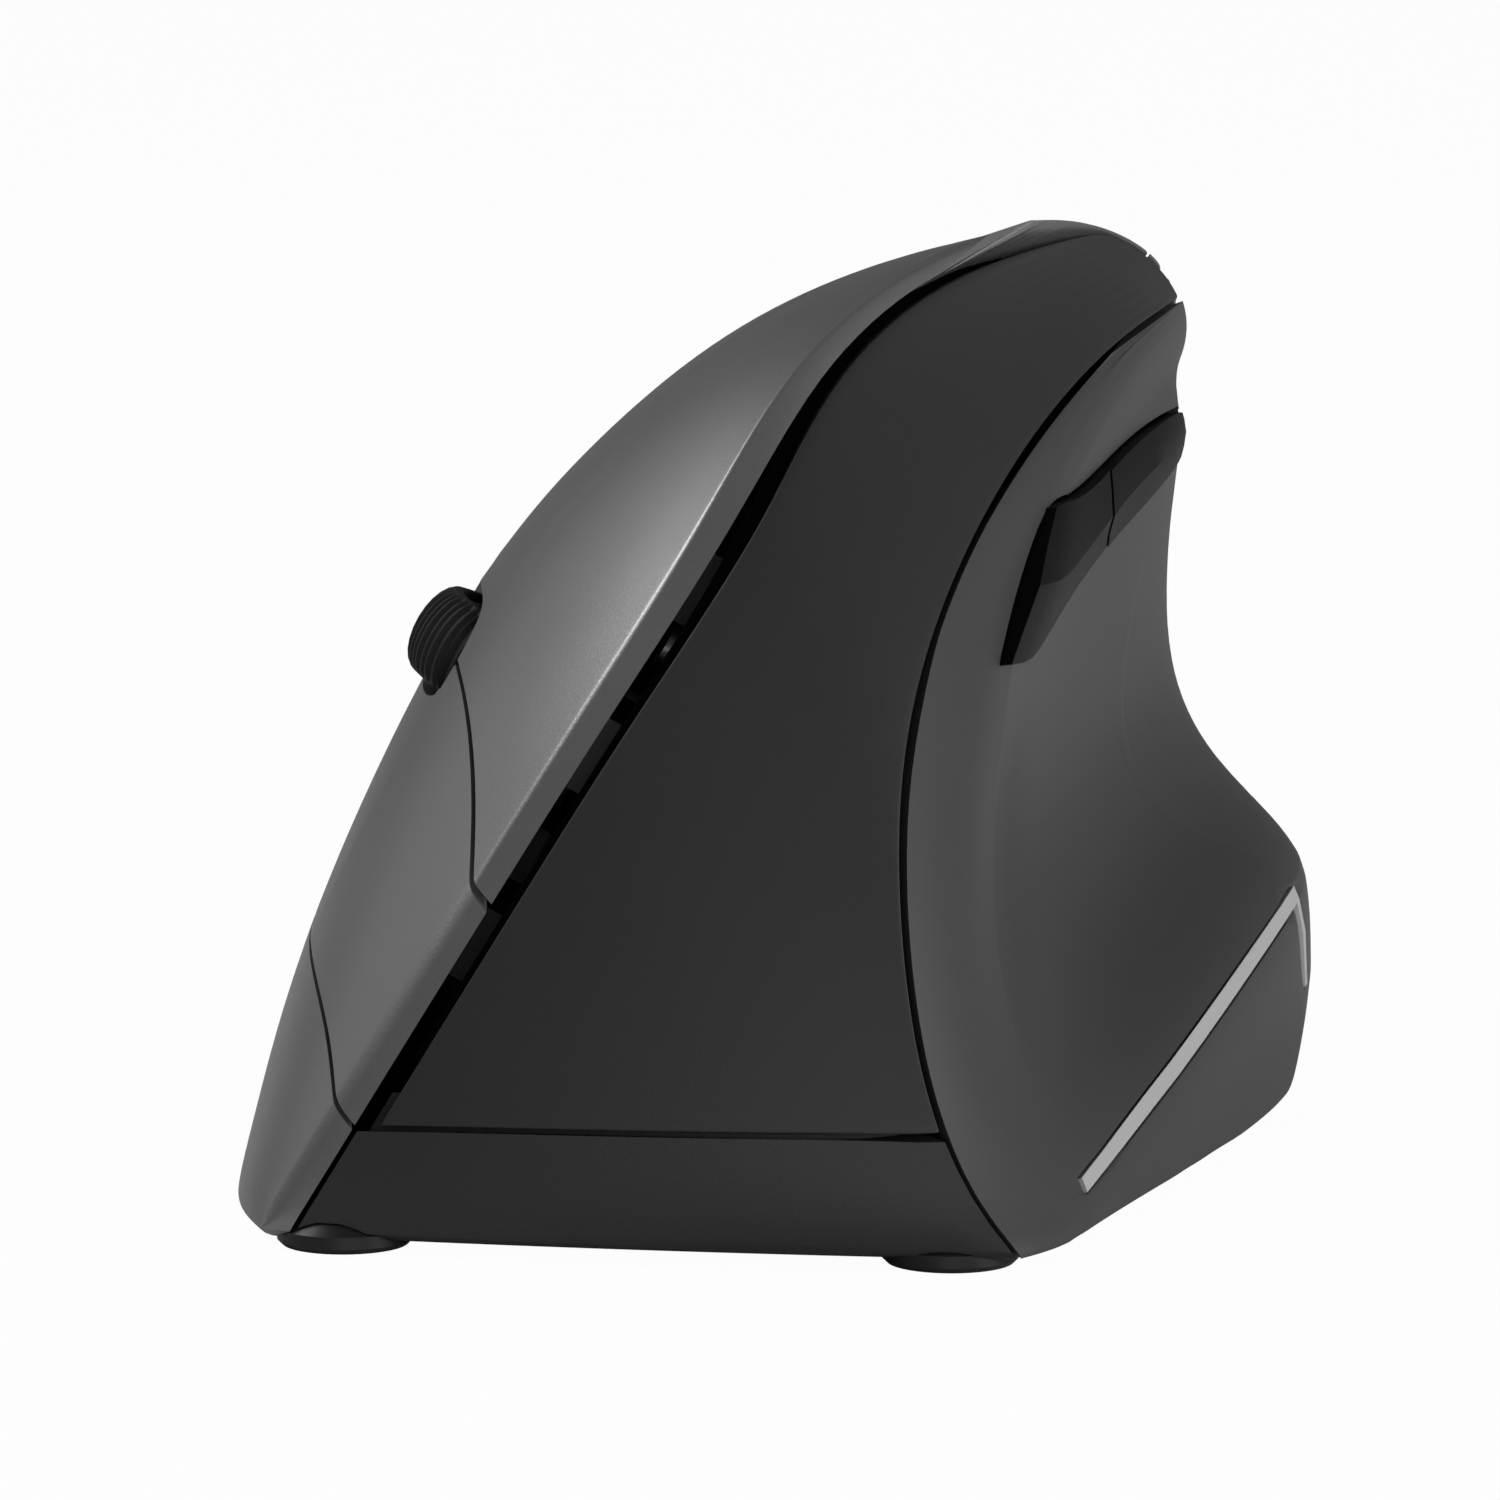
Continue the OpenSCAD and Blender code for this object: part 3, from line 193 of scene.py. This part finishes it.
# Shader arithmetic
class Shade:
    """A socket in a node tree: arithmetic on it adds Math nodes, and node() adds any other node."""

    def __init__(self, tree, socket=None):
        self.tree = tree
        self.socket = socket

    def feed(self, socket, value):
        """Links a Shade to a socket, or sets a plain value on it."""
        if isinstance(value, Shade):
            self.tree.links.new(value.socket, socket)
        else:
            socket.default_value = value

    def node(self, kind, settings=None, inputs=None, output=0):
        """Adds a node with its settings, then its sockets' values or links."""
        made = self.tree.nodes.new(kind)
        for key, value in (settings or {}).items():
            if key == "stops":
                ramp = made.color_ramp.elements
                while len(ramp) < len(value):
                    ramp.new(0.5)
                for stop, (place, level) in zip(ramp, value):
                    stop.position = place
                    stop.color = (level, level, level, 1)
            else:
                setattr(made, key, value)
        for key, value in (inputs or {}).items():
            self.feed(made.inputs[key], value)
        return Shade(self.tree, made.outputs[output])

    def to_output(self, kind="ShaderNodeOutputMaterial"):
        """Makes this shader the surface of its material or world."""
        output = self.tree.nodes.new(kind)
        self.feed(output.inputs["Surface"], self)

    def math(self, operation, first, second):
        return self.node("ShaderNodeMath", {"operation": operation}, {0: first, 1: second})

    def __add__(self, other):
        return self.math("ADD", self, other)

    def __radd__(self, other):
        return self.math("ADD", other, self)

    def __mul__(self, other):
        return self.math("MULTIPLY", self, other)

    def __rmul__(self, other):
        return self.math("MULTIPLY", other, self)


def start_material(name):
    """An empty material, its tree as a Shade and its Object coordinates."""
    material = bpy.data.materials.new(name)
    material.use_nodes = True
    tree = material.node_tree
    tree.nodes.clear()
    shade = Shade(tree)
    place = shade.node("ShaderNodeTexCoord", output="Object")
    return material, shade, place


def finish_material(material, shade, inputs):
    """Adds the surface shader and the output."""
    shade.node("ShaderNodeBsdfPrincipled", inputs=inputs).to_output()
    return material


def grey(level):
    return (level, level, level)


def noise(place, scale, detail):
    """Soft noise from 0 to 1, with about this many patches to the metre."""
    inputs = {"Vector": place, "Scale": scale, "Detail": detail}
    return place.node("ShaderNodeTexNoise", inputs=inputs, output="Fac")


def blend(shade, amount, low, high):
    """One colour where the amount is 0 and another where it is 1."""
    inputs = {MIX_FACTOR: amount, MIX_LOW: [*low, 1], MIX_HIGH: [*high, 1]}
    return shade.node("ShaderNodeMix", {"data_type": "RGBA"}, inputs, output=MIX_RESULT)


def tinted(shade, colour, amount):
    """A colour made lighter and darker by a value round a half."""
    low = [channel * (1 - TINT) for channel in colour]
    high = [channel * (1 + TINT) for channel in colour]
    return blend(shade, amount, low, high)


# Finishes
def moulded_plastic(name, colour, rough, grain_size, grain_depth, shine=0.5, metal=0.0):
    """Moulded plastic with a fine spark-eroded grain, a little uneven in colour and gloss."""
    material, shade, place = start_material(name)
    cloud = noise(place, scale=45, detail=3)
    grain = noise(place, scale=1 / grain_size, detail=2)
    pits = shade.node("ShaderNodeTexVoronoi", inputs={"Vector": place, "Scale": 0.6 / grain_size},
                      output="Distance")
    height = grain + pits * 0.5
    bump = shade.node("ShaderNodeBump", inputs={"Height": height, "Strength": 0.35, "Distance": grain_depth})
    # The noises add about 0.06 on average, so the finish stays as rough as it is asked to be
    return finish_material(material, shade, {
        "Base Color": tinted(shade, colour, cloud * 0.5 + grain * 0.5),
        "Roughness": (rough - 0.06) + cloud * 0.08 + grain * 0.05,
        "Normal": bump,
        "Specular IOR Level": shine,
        "Metallic": metal,
    })


def ribbed_rubber(name, colour):
    """Dull rubber with a dusty mottle."""
    material, shade, place = start_material(name)
    dust = noise(place, scale=900, detail=4)
    grain = noise(place, scale=6000, detail=2)
    bump = shade.node("ShaderNodeBump", inputs={"Height": grain, "Strength": 0.4, "Distance": 0.06 * MM})
    return finish_material(material, shade, {
        "Base Color": tinted(shade, colour, dust),
        "Roughness": 0.55 + dust * 0.2,
        "Normal": bump,
        "Specular IOR Level": 0.3,
    })


def turned_steel(name, colour, rough):
    """Plated or ground steel with fine marks."""
    material, shade, place = start_material(name)
    marks = noise(place, scale=2500, detail=3)
    return finish_material(material, shade, {
        "Base Color": tinted(shade, colour, marks),
        "Roughness": (rough - 0.1) + marks * 0.2,
        "Metallic": 1.0,
    })


def circuit_board(name, mask, track):
    """Solder mask over fine tracks."""
    material, shade, place = start_material(name)
    cells = shade.node("ShaderNodeTexVoronoi", {"distance": "MANHATTAN", "feature": "F1"},
                       {"Vector": place, "Scale": 420}, output="Distance")
    lines = shade.node("ShaderNodeValToRGB", {"stops": [(0.46, 0.0), (0.5, 1.0)]}, {"Fac": cells})
    return finish_material(material, shade, {
        "Base Color": blend(shade, lines, mask, track),
        "Roughness": 0.3 + cells * 0.15,
    })


def clear_lens(name):
    """Clear moulded lens with a faint tint."""
    material, shade, place = start_material(name)
    haze = noise(place, scale=400, detail=2)
    return finish_material(material, shade, {
        "Base Color": tinted(shade, (0.75, 0.8, 0.82), haze),
        "Roughness": 0.05 + haze * 0.05,
        "Transmission Weight": 0.85,
        "IOR": 1.49,
    })


def battery_sleeve(name):
    """Plain sleeve with a metallic sheen."""
    material, shade, place = start_material(name)
    grime = noise(place, scale=300, detail=3)
    return finish_material(material, shade, {
        "Base Color": tinted(shade, (0.22, 0.25, 0.21), grime),
        "Roughness": 0.25 + grime * 0.15,
        "Metallic": 0.3,
    })


# Mesh helpers
def deselect():
    bpy.ops.object.select_all(action="DESELECT")


def joint_named(name):
    return next(joint for joint in frame["record"]["behaviour"]["joints"] if joint["name"] == name)


def copy_of(node):
    """A merged copy of a CAD node's mesh, its triangles joined to quads, left in edit mode."""
    deselect()
    piece = bpy.data.objects.new(node + "_skin", frame["nodes"][node].data.copy())
    bpy.context.scene.collection.objects.link(piece)
    piece.data.materials.clear()
    piece.select_set(True)
    bpy.context.view_layer.objects.active = piece
    bpy.ops.mesh.customdata_custom_splitnormals_clear()
    bpy.ops.object.mode_set(mode="EDIT")
    bpy.ops.mesh.select_mode(type="EDGE")
    bpy.ops.mesh.select_all(action="SELECT")
    bpy.ops.mesh.remove_doubles(threshold=MERGE_GAP)
    bpy.ops.mesh.tris_convert_to_quads(face_threshold=QUAD_BEND, shape_threshold=QUAD_SKEW)
    return piece


def pick_edges(piece, wanted):
    """Selects in edit mode the edges that wanted() accepts, and says how many."""
    mesh = bmesh.from_edit_mesh(piece.data)
    for edge in mesh.edges:
        edge.select_set(False)
    chosen = [edge for edge in mesh.edges if len(edge.link_faces) == 2 and wanted(edge)]
    for edge in chosen:
        edge.select_set(True)
    bmesh.update_edit_mesh(piece.data)
    return len(chosen)


def pick_corners(piece, wanted):
    """Selects in edit mode the corners that wanted() accepts."""
    bpy.ops.mesh.select_mode(type="VERT")
    mesh = bmesh.from_edit_mesh(piece.data)
    for corner in mesh.verts:
        corner.select_set(wanted(corner))
    mesh.select_flush_mode()
    bmesh.update_edit_mesh(piece.data)


def round_edges(piece, wanted, width, steps=RIM_STEPS):
    """Bevels in edit mode the edges that wanted() accepts."""
    if not pick_edges(piece, wanted):
        raise RuntimeError("no edge to round on " + piece.name)
    bpy.ops.mesh.bevel(offset=width, offset_type="OFFSET", segments=steps, profile=0.5,
                       affect="EDGES", clamp_overlap=True, loop_slide=True)


def corner_tree(node):
    """A tree of the corners of a CAD node, to find what lies close to it."""
    points = [vertex.co for vertex in frame["nodes"][node].data.vertices]
    tree = kdtree.KDTree(len(points))
    for index, point in enumerate(points):
        tree.insert(point, index)
    tree.balance()
    return tree


def edge_middle(edge):
    return (edge.verts[0].co + edge.verts[1].co) / 2


def is_sharp(edge):
    return edge.calc_face_angle(0) > SHARP


def leans(normal, left=-math.inf, front=-math.inf, up=-math.inf):
    """Whether a direction has more than these shares to the left, to the front and up."""
    return -normal.x > left and -normal.y > front and normal.z > up


def smooth(piece, levels, corner=SHELL_CORNER):
    """Leaves edit mode, subdivides and applies, and shades smooth but for corners over an angle."""
    bpy.ops.object.mode_set(mode="OBJECT")
    if levels:
        modifier = piece.modifiers.new("Smooth", "SUBSURF")
        modifier.levels = levels
        modifier.render_levels = levels
        bpy.ops.object.modifier_apply(modifier=modifier.name)
    bpy.ops.object.shade_smooth_by_angle(angle=corner)


def dress(piece, node, material):
    """Gives a finished piece its finish and its body, and hides the CAD node that it stands for."""
    piece.data.materials.append(material)
    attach(piece, BODY_OF[node])
    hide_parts(node)


def finish_nodes(material, *nodes):
    """Gives CAD nodes that stay their finish."""
    for node in nodes:
        slots = frame["nodes"][node].data.materials
        slots.clear()
        slots.append(material)


# Pieces
class FingerShells(bpy.types.Operator):
    """Makes the two keys and the palm cover, with a soft edge along the front ridge"""

    bl_idname = "mouse.finger_shells"
    bl_label = "Finger shells"

    def execute(self, context):
        shapes = context.scene.mouse_shapes
        finishes = context.scene.mouse_finishes
        satin = moulded_plastic("satin_grey_plastic", finishes.finger, finishes.satin,
                                grain_size=0.16 * MM, grain_depth=0.02 * MM, metal=0.75)
        for node in ("key_left", "key_right", "palm_cover"):
            piece = copy_of(node)
            pick_edges(piece, self.is_fold)
            bpy.ops.mesh.dissolve_edges(use_verts=True)
            round_edges(piece, self.on_ridge, shapes.ridge_round, RIDGE_STEPS)
            round_edges(piece, self.on_rim, shapes.rim_round)
            smooth(piece, shapes.smooth_levels)
            dress(piece, node, satin)
        return {"FINISHED"}

    def is_fold(self, edge):
        """An edge of the narrow facets that lie folded on a key's face, in line with the slots' ends."""
        below_crest = edge_middle(edge).z < cad_box[1][2] - CREST_DEPTH
        return below_crest and edge.calc_face_angle(0) > FOLDED

    def on_rim(self, edge):
        """A sharp edge that doesn't lie in the middle of the outer face."""
        in_face = all(leans(face.normal, left=0.1, up=0.3) for face in edge.link_faces)
        return is_sharp(edge) and not in_face

    def on_ridge(self, edge):
        """The outer corner between the finger side and the front face."""
        fore, side = sorted((face.normal for face in edge.link_faces), key=lambda normal: normal.y)
        outer = leans(fore, front=0.5, up=0.1) and leans(side, left=0.3, up=0.2)
        turned = side.y > fore.y + RIDGE_TURN
        return outer and turned and edge.is_convex and edge.calc_face_angle(0) > RIDGE


class FrontShells(bpy.types.Operator):
    """Makes the front panel and the base, and finishes the frames behind the gaps near-perfectly black, as
    painted shade in the gaps
    """

    bl_idname = "mouse.front_shells"
    bl_label = "Front shells"

    def execute(self, context):
        shapes = context.scene.mouse_shapes
        finishes = context.scene.mouse_finishes
        matte = moulded_plastic("matte_dark_plastic", finishes.front, rough=0.5,
                                grain_size=0.2 * MM, grain_depth=0.025 * MM, shine=0.3)
        # Black plastic of the inner frames, made near-perfectly black and dull so that the gaps between the
        # shells show painted shade
        black = moulded_plastic("inner_black_plastic", grey(0.0015), rough=0.8,
                                grain_size=0.3 * MM, grain_depth=0.03 * MM, shine=0.05)
        panel = copy_of("front_panel")
        round_edges(panel, is_sharp, shapes.rim_round)
        smooth(panel, shapes.smooth_levels)
        dress(panel, "front_panel", matte)
        base = copy_of("base_case")
        smooth(base, 0)
        dress(base, "base_case", matte)
        finish_nodes(black, "ridge_frame", "chassis", "wheel_carrier")
        return {"FINISHED"}


class ThumbShells(bpy.types.Operator):
    """Makes the thumb side with its accent line and its two buttons"""

    bl_idname = "mouse.thumb_shells"
    bl_label = "Thumb side"

    def execute(self, context):
        shapes = context.scene.mouse_shapes
        finishes = context.scene.mouse_finishes
        satin = moulded_plastic("satin_dark_plastic", finishes.thumb, finishes.satin + THUMB_ROUGHER,
                                grain_size=0.18 * MM, grain_depth=0.02 * MM, shine=0.3)
        light = moulded_plastic("light_grey_plastic", finishes.accent, rough=0.45,
                                grain_size=0.18 * MM, grain_depth=0.01 * MM)
        gloss = moulded_plastic("gloss_black_plastic", finishes.gloss, rough=0.42,
                                grain_size=0.4 * MM, grain_depth=0.004 * MM, shine=0.06)
        line_corners = corner_tree("accent_strip")

        def off_line(edge):
            nearest = line_corners.find(edge_middle(edge))
            return is_sharp(edge) and nearest[-1] > LINE_MARGIN

        panel = copy_of("thumb_panel")
        round_edges(panel, off_line, shapes.rim_round)
        smooth(panel, shapes.smooth_levels)
        dress(panel, "thumb_panel", satin)
        strip = copy_of("accent_strip")
        smooth(strip, 0)
        dress(strip, "accent_strip", light)
        for node in ("thumb_button_front", "thumb_button_rear"):
            button = copy_of(node)
            round_edges(button, is_sharp, shapes.rim_round)
            smooth(button, 0, BUTTON_CORNER)
            dress(button, node, gloss)
        finish_nodes(gloss, "dpi_button")
        return {"FINISHED"}


class Wheel(bpy.types.Operator):
    """Makes the wheel's tyre, and finishes its hub and axle"""

    bl_idname = "mouse.wheel"
    bl_label = "Wheel"

    def execute(self, context):
        rubber = ribbed_rubber("ribbed_black_rubber", context.scene.mouse_finishes.rubber)
        self.tyre(context.scene.mouse_shapes, rubber)
        plastic = moulded_plastic("hub_plastic", grey(0.05), rough=0.4,
                                  grain_size=0.2 * MM, grain_depth=0.01 * MM)
        finish_nodes(plastic, "wheel_hub")
        finish_nodes(turned_steel("ground_steel", (0.55, 0.56, 0.57), rough=0.3), "wheel_axle")
        return {"FINISHED"}

    def tyre(self, shapes, rubber):
        """A barrel-shaped ring whose grooves follow its crown from shoulder to shoulder."""
        spin = joint_named("wheel_spin")
        middle = Vector(spin["pos_m"])
        axle = Vector(spin["axis"]).normalized()
        arms = [vertex.co - middle for vertex in frame["nodes"]["wheel_tyre"].data.vertices]
        half_width = max(abs(arm.dot(axle)) for arm in arms)
        radius = max((arm - axle * arm.dot(axle)).length for arm in arms)
        crown = shapes.tyre_crown
        deselect()
        bpy.ops.mesh.primitive_torus_add(major_segments=PITCH_STEPS * shapes.tyre_ribs,
                                         minor_segments=SECTION_STEPS,
                                         major_radius=radius - crown, minor_radius=crown)
        piece = bpy.context.active_object
        piece.name = "wheel_tyre_skin"
        bpy.ops.object.mode_set(mode="EDIT")
        bpy.ops.transform.resize(value=(1, 1, half_width / crown))
        pitch = math.tau / shapes.tyre_ribs
        shoulder = radius - GROOVE_REACH * crown

        def in_groove(corner):
            around = math.atan2(corner.co.y, corner.co.x) / pitch % 1
            on_crown = math.hypot(corner.co.x, corner.co.y) > shoulder
            return on_crown and GROOVE_START < around < GROOVE_END

        pick_corners(piece, in_groove)
        bpy.ops.transform.shrink_fatten(value=-shapes.groove_depth)
        smooth(piece, 0)
        piece.rotation_euler = axle.to_track_quat("Z", "Y").to_euler()
        piece.location = middle
        bpy.ops.object.transform_apply(location=True, rotation=True, scale=True)
        dress(piece, "wheel_tyre", rubber)


class Underside(bpy.types.Operator):
    """Finishes the feet, the battery door, the slider, the screws and the lens"""

    bl_idname = "mouse.underside"
    bl_label = "Underside"

    def execute(self, context):
        glide = moulded_plastic("glide_plastic", (0.008, 0.008, 0.0085), rough=0.4,
                                grain_size=0.6 * MM, grain_depth=0.01 * MM, shine=0.3)
        door = moulded_plastic("door_plastic", (0.03, 0.03, 0.031), rough=0.5,
                               grain_size=0.2 * MM, grain_depth=0.02 * MM)
        slider = moulded_plastic("slider_plastic", grey(0.08), rough=0.45,
                                 grain_size=0.2 * MM, grain_depth=0.02 * MM)
        finish_nodes(glide, "feet")
        finish_nodes(door, "battery_door")
        finish_nodes(slider, "power_slider")
        finish_nodes(turned_steel("zinc_plated_steel", grey(0.45), rough=0.35), "case_screws", "board_screws")
        finish_nodes(clear_lens("clear_lens"), "lens")
        return {"FINISHED"}


class Inside(bpy.types.Operator):
    """Finishes the boards, switches, chips and battery inside the case"""

    bl_idname = "mouse.inside"
    bl_label = "Inside"

    def execute(self, context):
        board = circuit_board("solder_mask", mask=(0.012, 0.075, 0.035), track=(0.03, 0.14, 0.07))
        switch = moulded_plastic("switch_plastic", grey(0.03), rough=0.45,
                                 grain_size=0.3 * MM, grain_depth=0.01 * MM)
        chip = moulded_plastic("chip_resin", grey(0.015), rough=0.55,
                               grain_size=0.2 * MM, grain_depth=0.01 * MM)
        finish_nodes(board, "main_board", "button_board", "thumb_board")
        finish_nodes(switch, "power_switch", "key_switches", "wheel_switch", "dpi_switch")
        finish_nodes(switch, "thumb_switches", "encoder")
        finish_nodes(chip, "board_parts", "sensor")
        finish_nodes(battery_sleeve("battery_sleeve"), "battery")
        finish_nodes(turned_steel("nickel_plated_steel", (0.6, 0.58, 0.54), rough=0.3), "battery_contacts")
        return {"FINISHED"}


class Studio(bpy.types.Operator):
    """Sets up the floor, the soft lights and the camera"""

    bl_idname = "mouse.studio"
    bl_label = "Studio"

    def execute(self, context):
        scene = context.scene
        scene.view_settings.view_transform = "Standard"
        target = Vector(scene.mouse_studio.target)
        self.camera(scene, target)
        self.floor()
        self.world(scene)
        self.soft_box(scene, "ridge_box", target, way=(-0.6, 0.05, 0.65), size=0.3, power=3)
        self.soft_box(scene, "left_box", target, way=(-0.75, 0.45, 0.35), size=0.5, power=0.3)
        self.soft_box(scene, "right_box", target, way=(0.9, -0.3, 0.15), size=0.4, power=6.5)
        self.soft_box(scene, "front_box", target, way=(0.2, -0.95, 0.0), size=0.5, power=3.6)
        return {"FINISHED"}

    def camera(self, scene, target):
        studio = scene.mouse_studio
        flat = math.cos(studio.elevation)
        back = Vector((
            math.sin(studio.azimuth) * flat,
            -math.cos(studio.azimuth) * flat,
            math.sin(studio.elevation),
        ))
        data = bpy.data.cameras.new("photo_camera")
        data.lens = studio.lens
        data.sensor_width = SENSOR_WIDTH
        data.clip_start = NEAREST
        camera = bpy.data.objects.new("photo_camera", data)
        camera.location = target + back * studio.distance
        camera.rotation_euler = back.to_track_quat("Z", "Y").to_euler()
        scene.collection.objects.link(camera)
        scene.camera = camera

    def seen(self, shade):
        """1 for what the camera sees, straight or through the lens, and 0 for the light on the mouse."""
        straight = shade.node("ShaderNodeLightPath", output="Is Camera Ray")
        through = shade.node("ShaderNodeLightPath", output="Is Transmission Ray")
        return shade.math("MAXIMUM", straight, through)

    def floor(self):
        deselect()
        bpy.ops.mesh.primitive_plane_add(size=FLOOR_SIDE, location=(0, 0, 0))
        floor = bpy.context.active_object
        floor.name = "pale_floor"
        material, shade, place = start_material("pale_floor")
        mottle = noise(place, scale=30, detail=2)
        colour = tinted(shade, grey(0.8), mottle * 0.1 + 0.45)
        matte = shade.node("ShaderNodeBsdfDiffuse", inputs={"Color": colour})
        white = shade.node("ShaderNodeEmission", inputs={"Color": (1, 1, 1, 1), "Strength": 1.0})
        share = self.seen(shade) * FLOOR_WHITE
        shade.node("ShaderNodeMixShader", inputs={0: share, 1: matte, 2: white}).to_output()
        floor.data.materials.append(material)

    def world(self, scene):
        world = bpy.data.worlds.new("studio_world")
        world.use_nodes = True
        tree = world.node_tree
        tree.nodes.clear()
        shade = Shade(tree)
        strength = FILL_LIGHT + self.seen(shade) * (1 - FILL_LIGHT)
        sky = shade.node("ShaderNodeBackground", inputs={"Color": (1, 1, 1, 1), "Strength": strength})
        sky.to_output("ShaderNodeOutputWorld")
        scene.world = world

    def soft_box(self, scene, name, target, way, size, power):
        """A square soft light that stands the given way from the target and looks at it."""
        data = bpy.data.lights.new(name, "AREA")
        data.shape = "SQUARE"
        data.size = size
        data.energy = power
        lamp = bpy.data.objects.new(name, data)
        lamp.location = target + Vector(way)
        lamp.rotation_euler = Vector(way).to_track_quat("Z", "Y").to_euler()
        scene.collection.objects.link(lamp)


class MousePanel(bpy.types.Panel):
    """Lists the pieces and their values"""

    bl_idname = "VIEW3D_PT_mouse"
    bl_label = "Vertical mouse"
    bl_space_type = "VIEW_3D"
    bl_region_type = "UI"
    bl_category = "Mouse"

    def draw(self, context):
        scene = context.scene
        for group in (scene.mouse_finishes, scene.mouse_shapes, scene.mouse_studio):
            for name in group.__annotations__:
                self.layout.prop(group, name)
        for operator in OPERATORS:
            self.layout.operator(operator.bl_idname)


OPERATORS = (FingerShells, FrontShells, ThumbShells, Wheel, Underside, Inside, Studio)
GROUPS = {"mouse_finishes": MouseFinishes, "mouse_shapes": MouseShapes, "mouse_studio": MouseStudio}


def register():
    for group in GROUPS.values():
        bpy.utils.register_class(group)
    for operator in OPERATORS:
        bpy.utils.register_class(operator)
    bpy.utils.register_class(MousePanel)
    for name, group in GROUPS.items():
        setattr(bpy.types.Scene, name, bpy.props.PointerProperty(type=group))


def unregister():
    for name in GROUPS:
        delattr(bpy.types.Scene, name)
    bpy.utils.unregister_class(MousePanel)
    for operator in reversed(OPERATORS):
        bpy.utils.unregister_class(operator)
    for group in reversed(list(GROUPS.values())):
        bpy.utils.unregister_class(group)


def main():
    register()
    for operator in OPERATORS:
        group, name = operator.bl_idname.split(".")
        getattr(getattr(bpy.ops, group), name)()


if __name__ == "__main__":
    main()
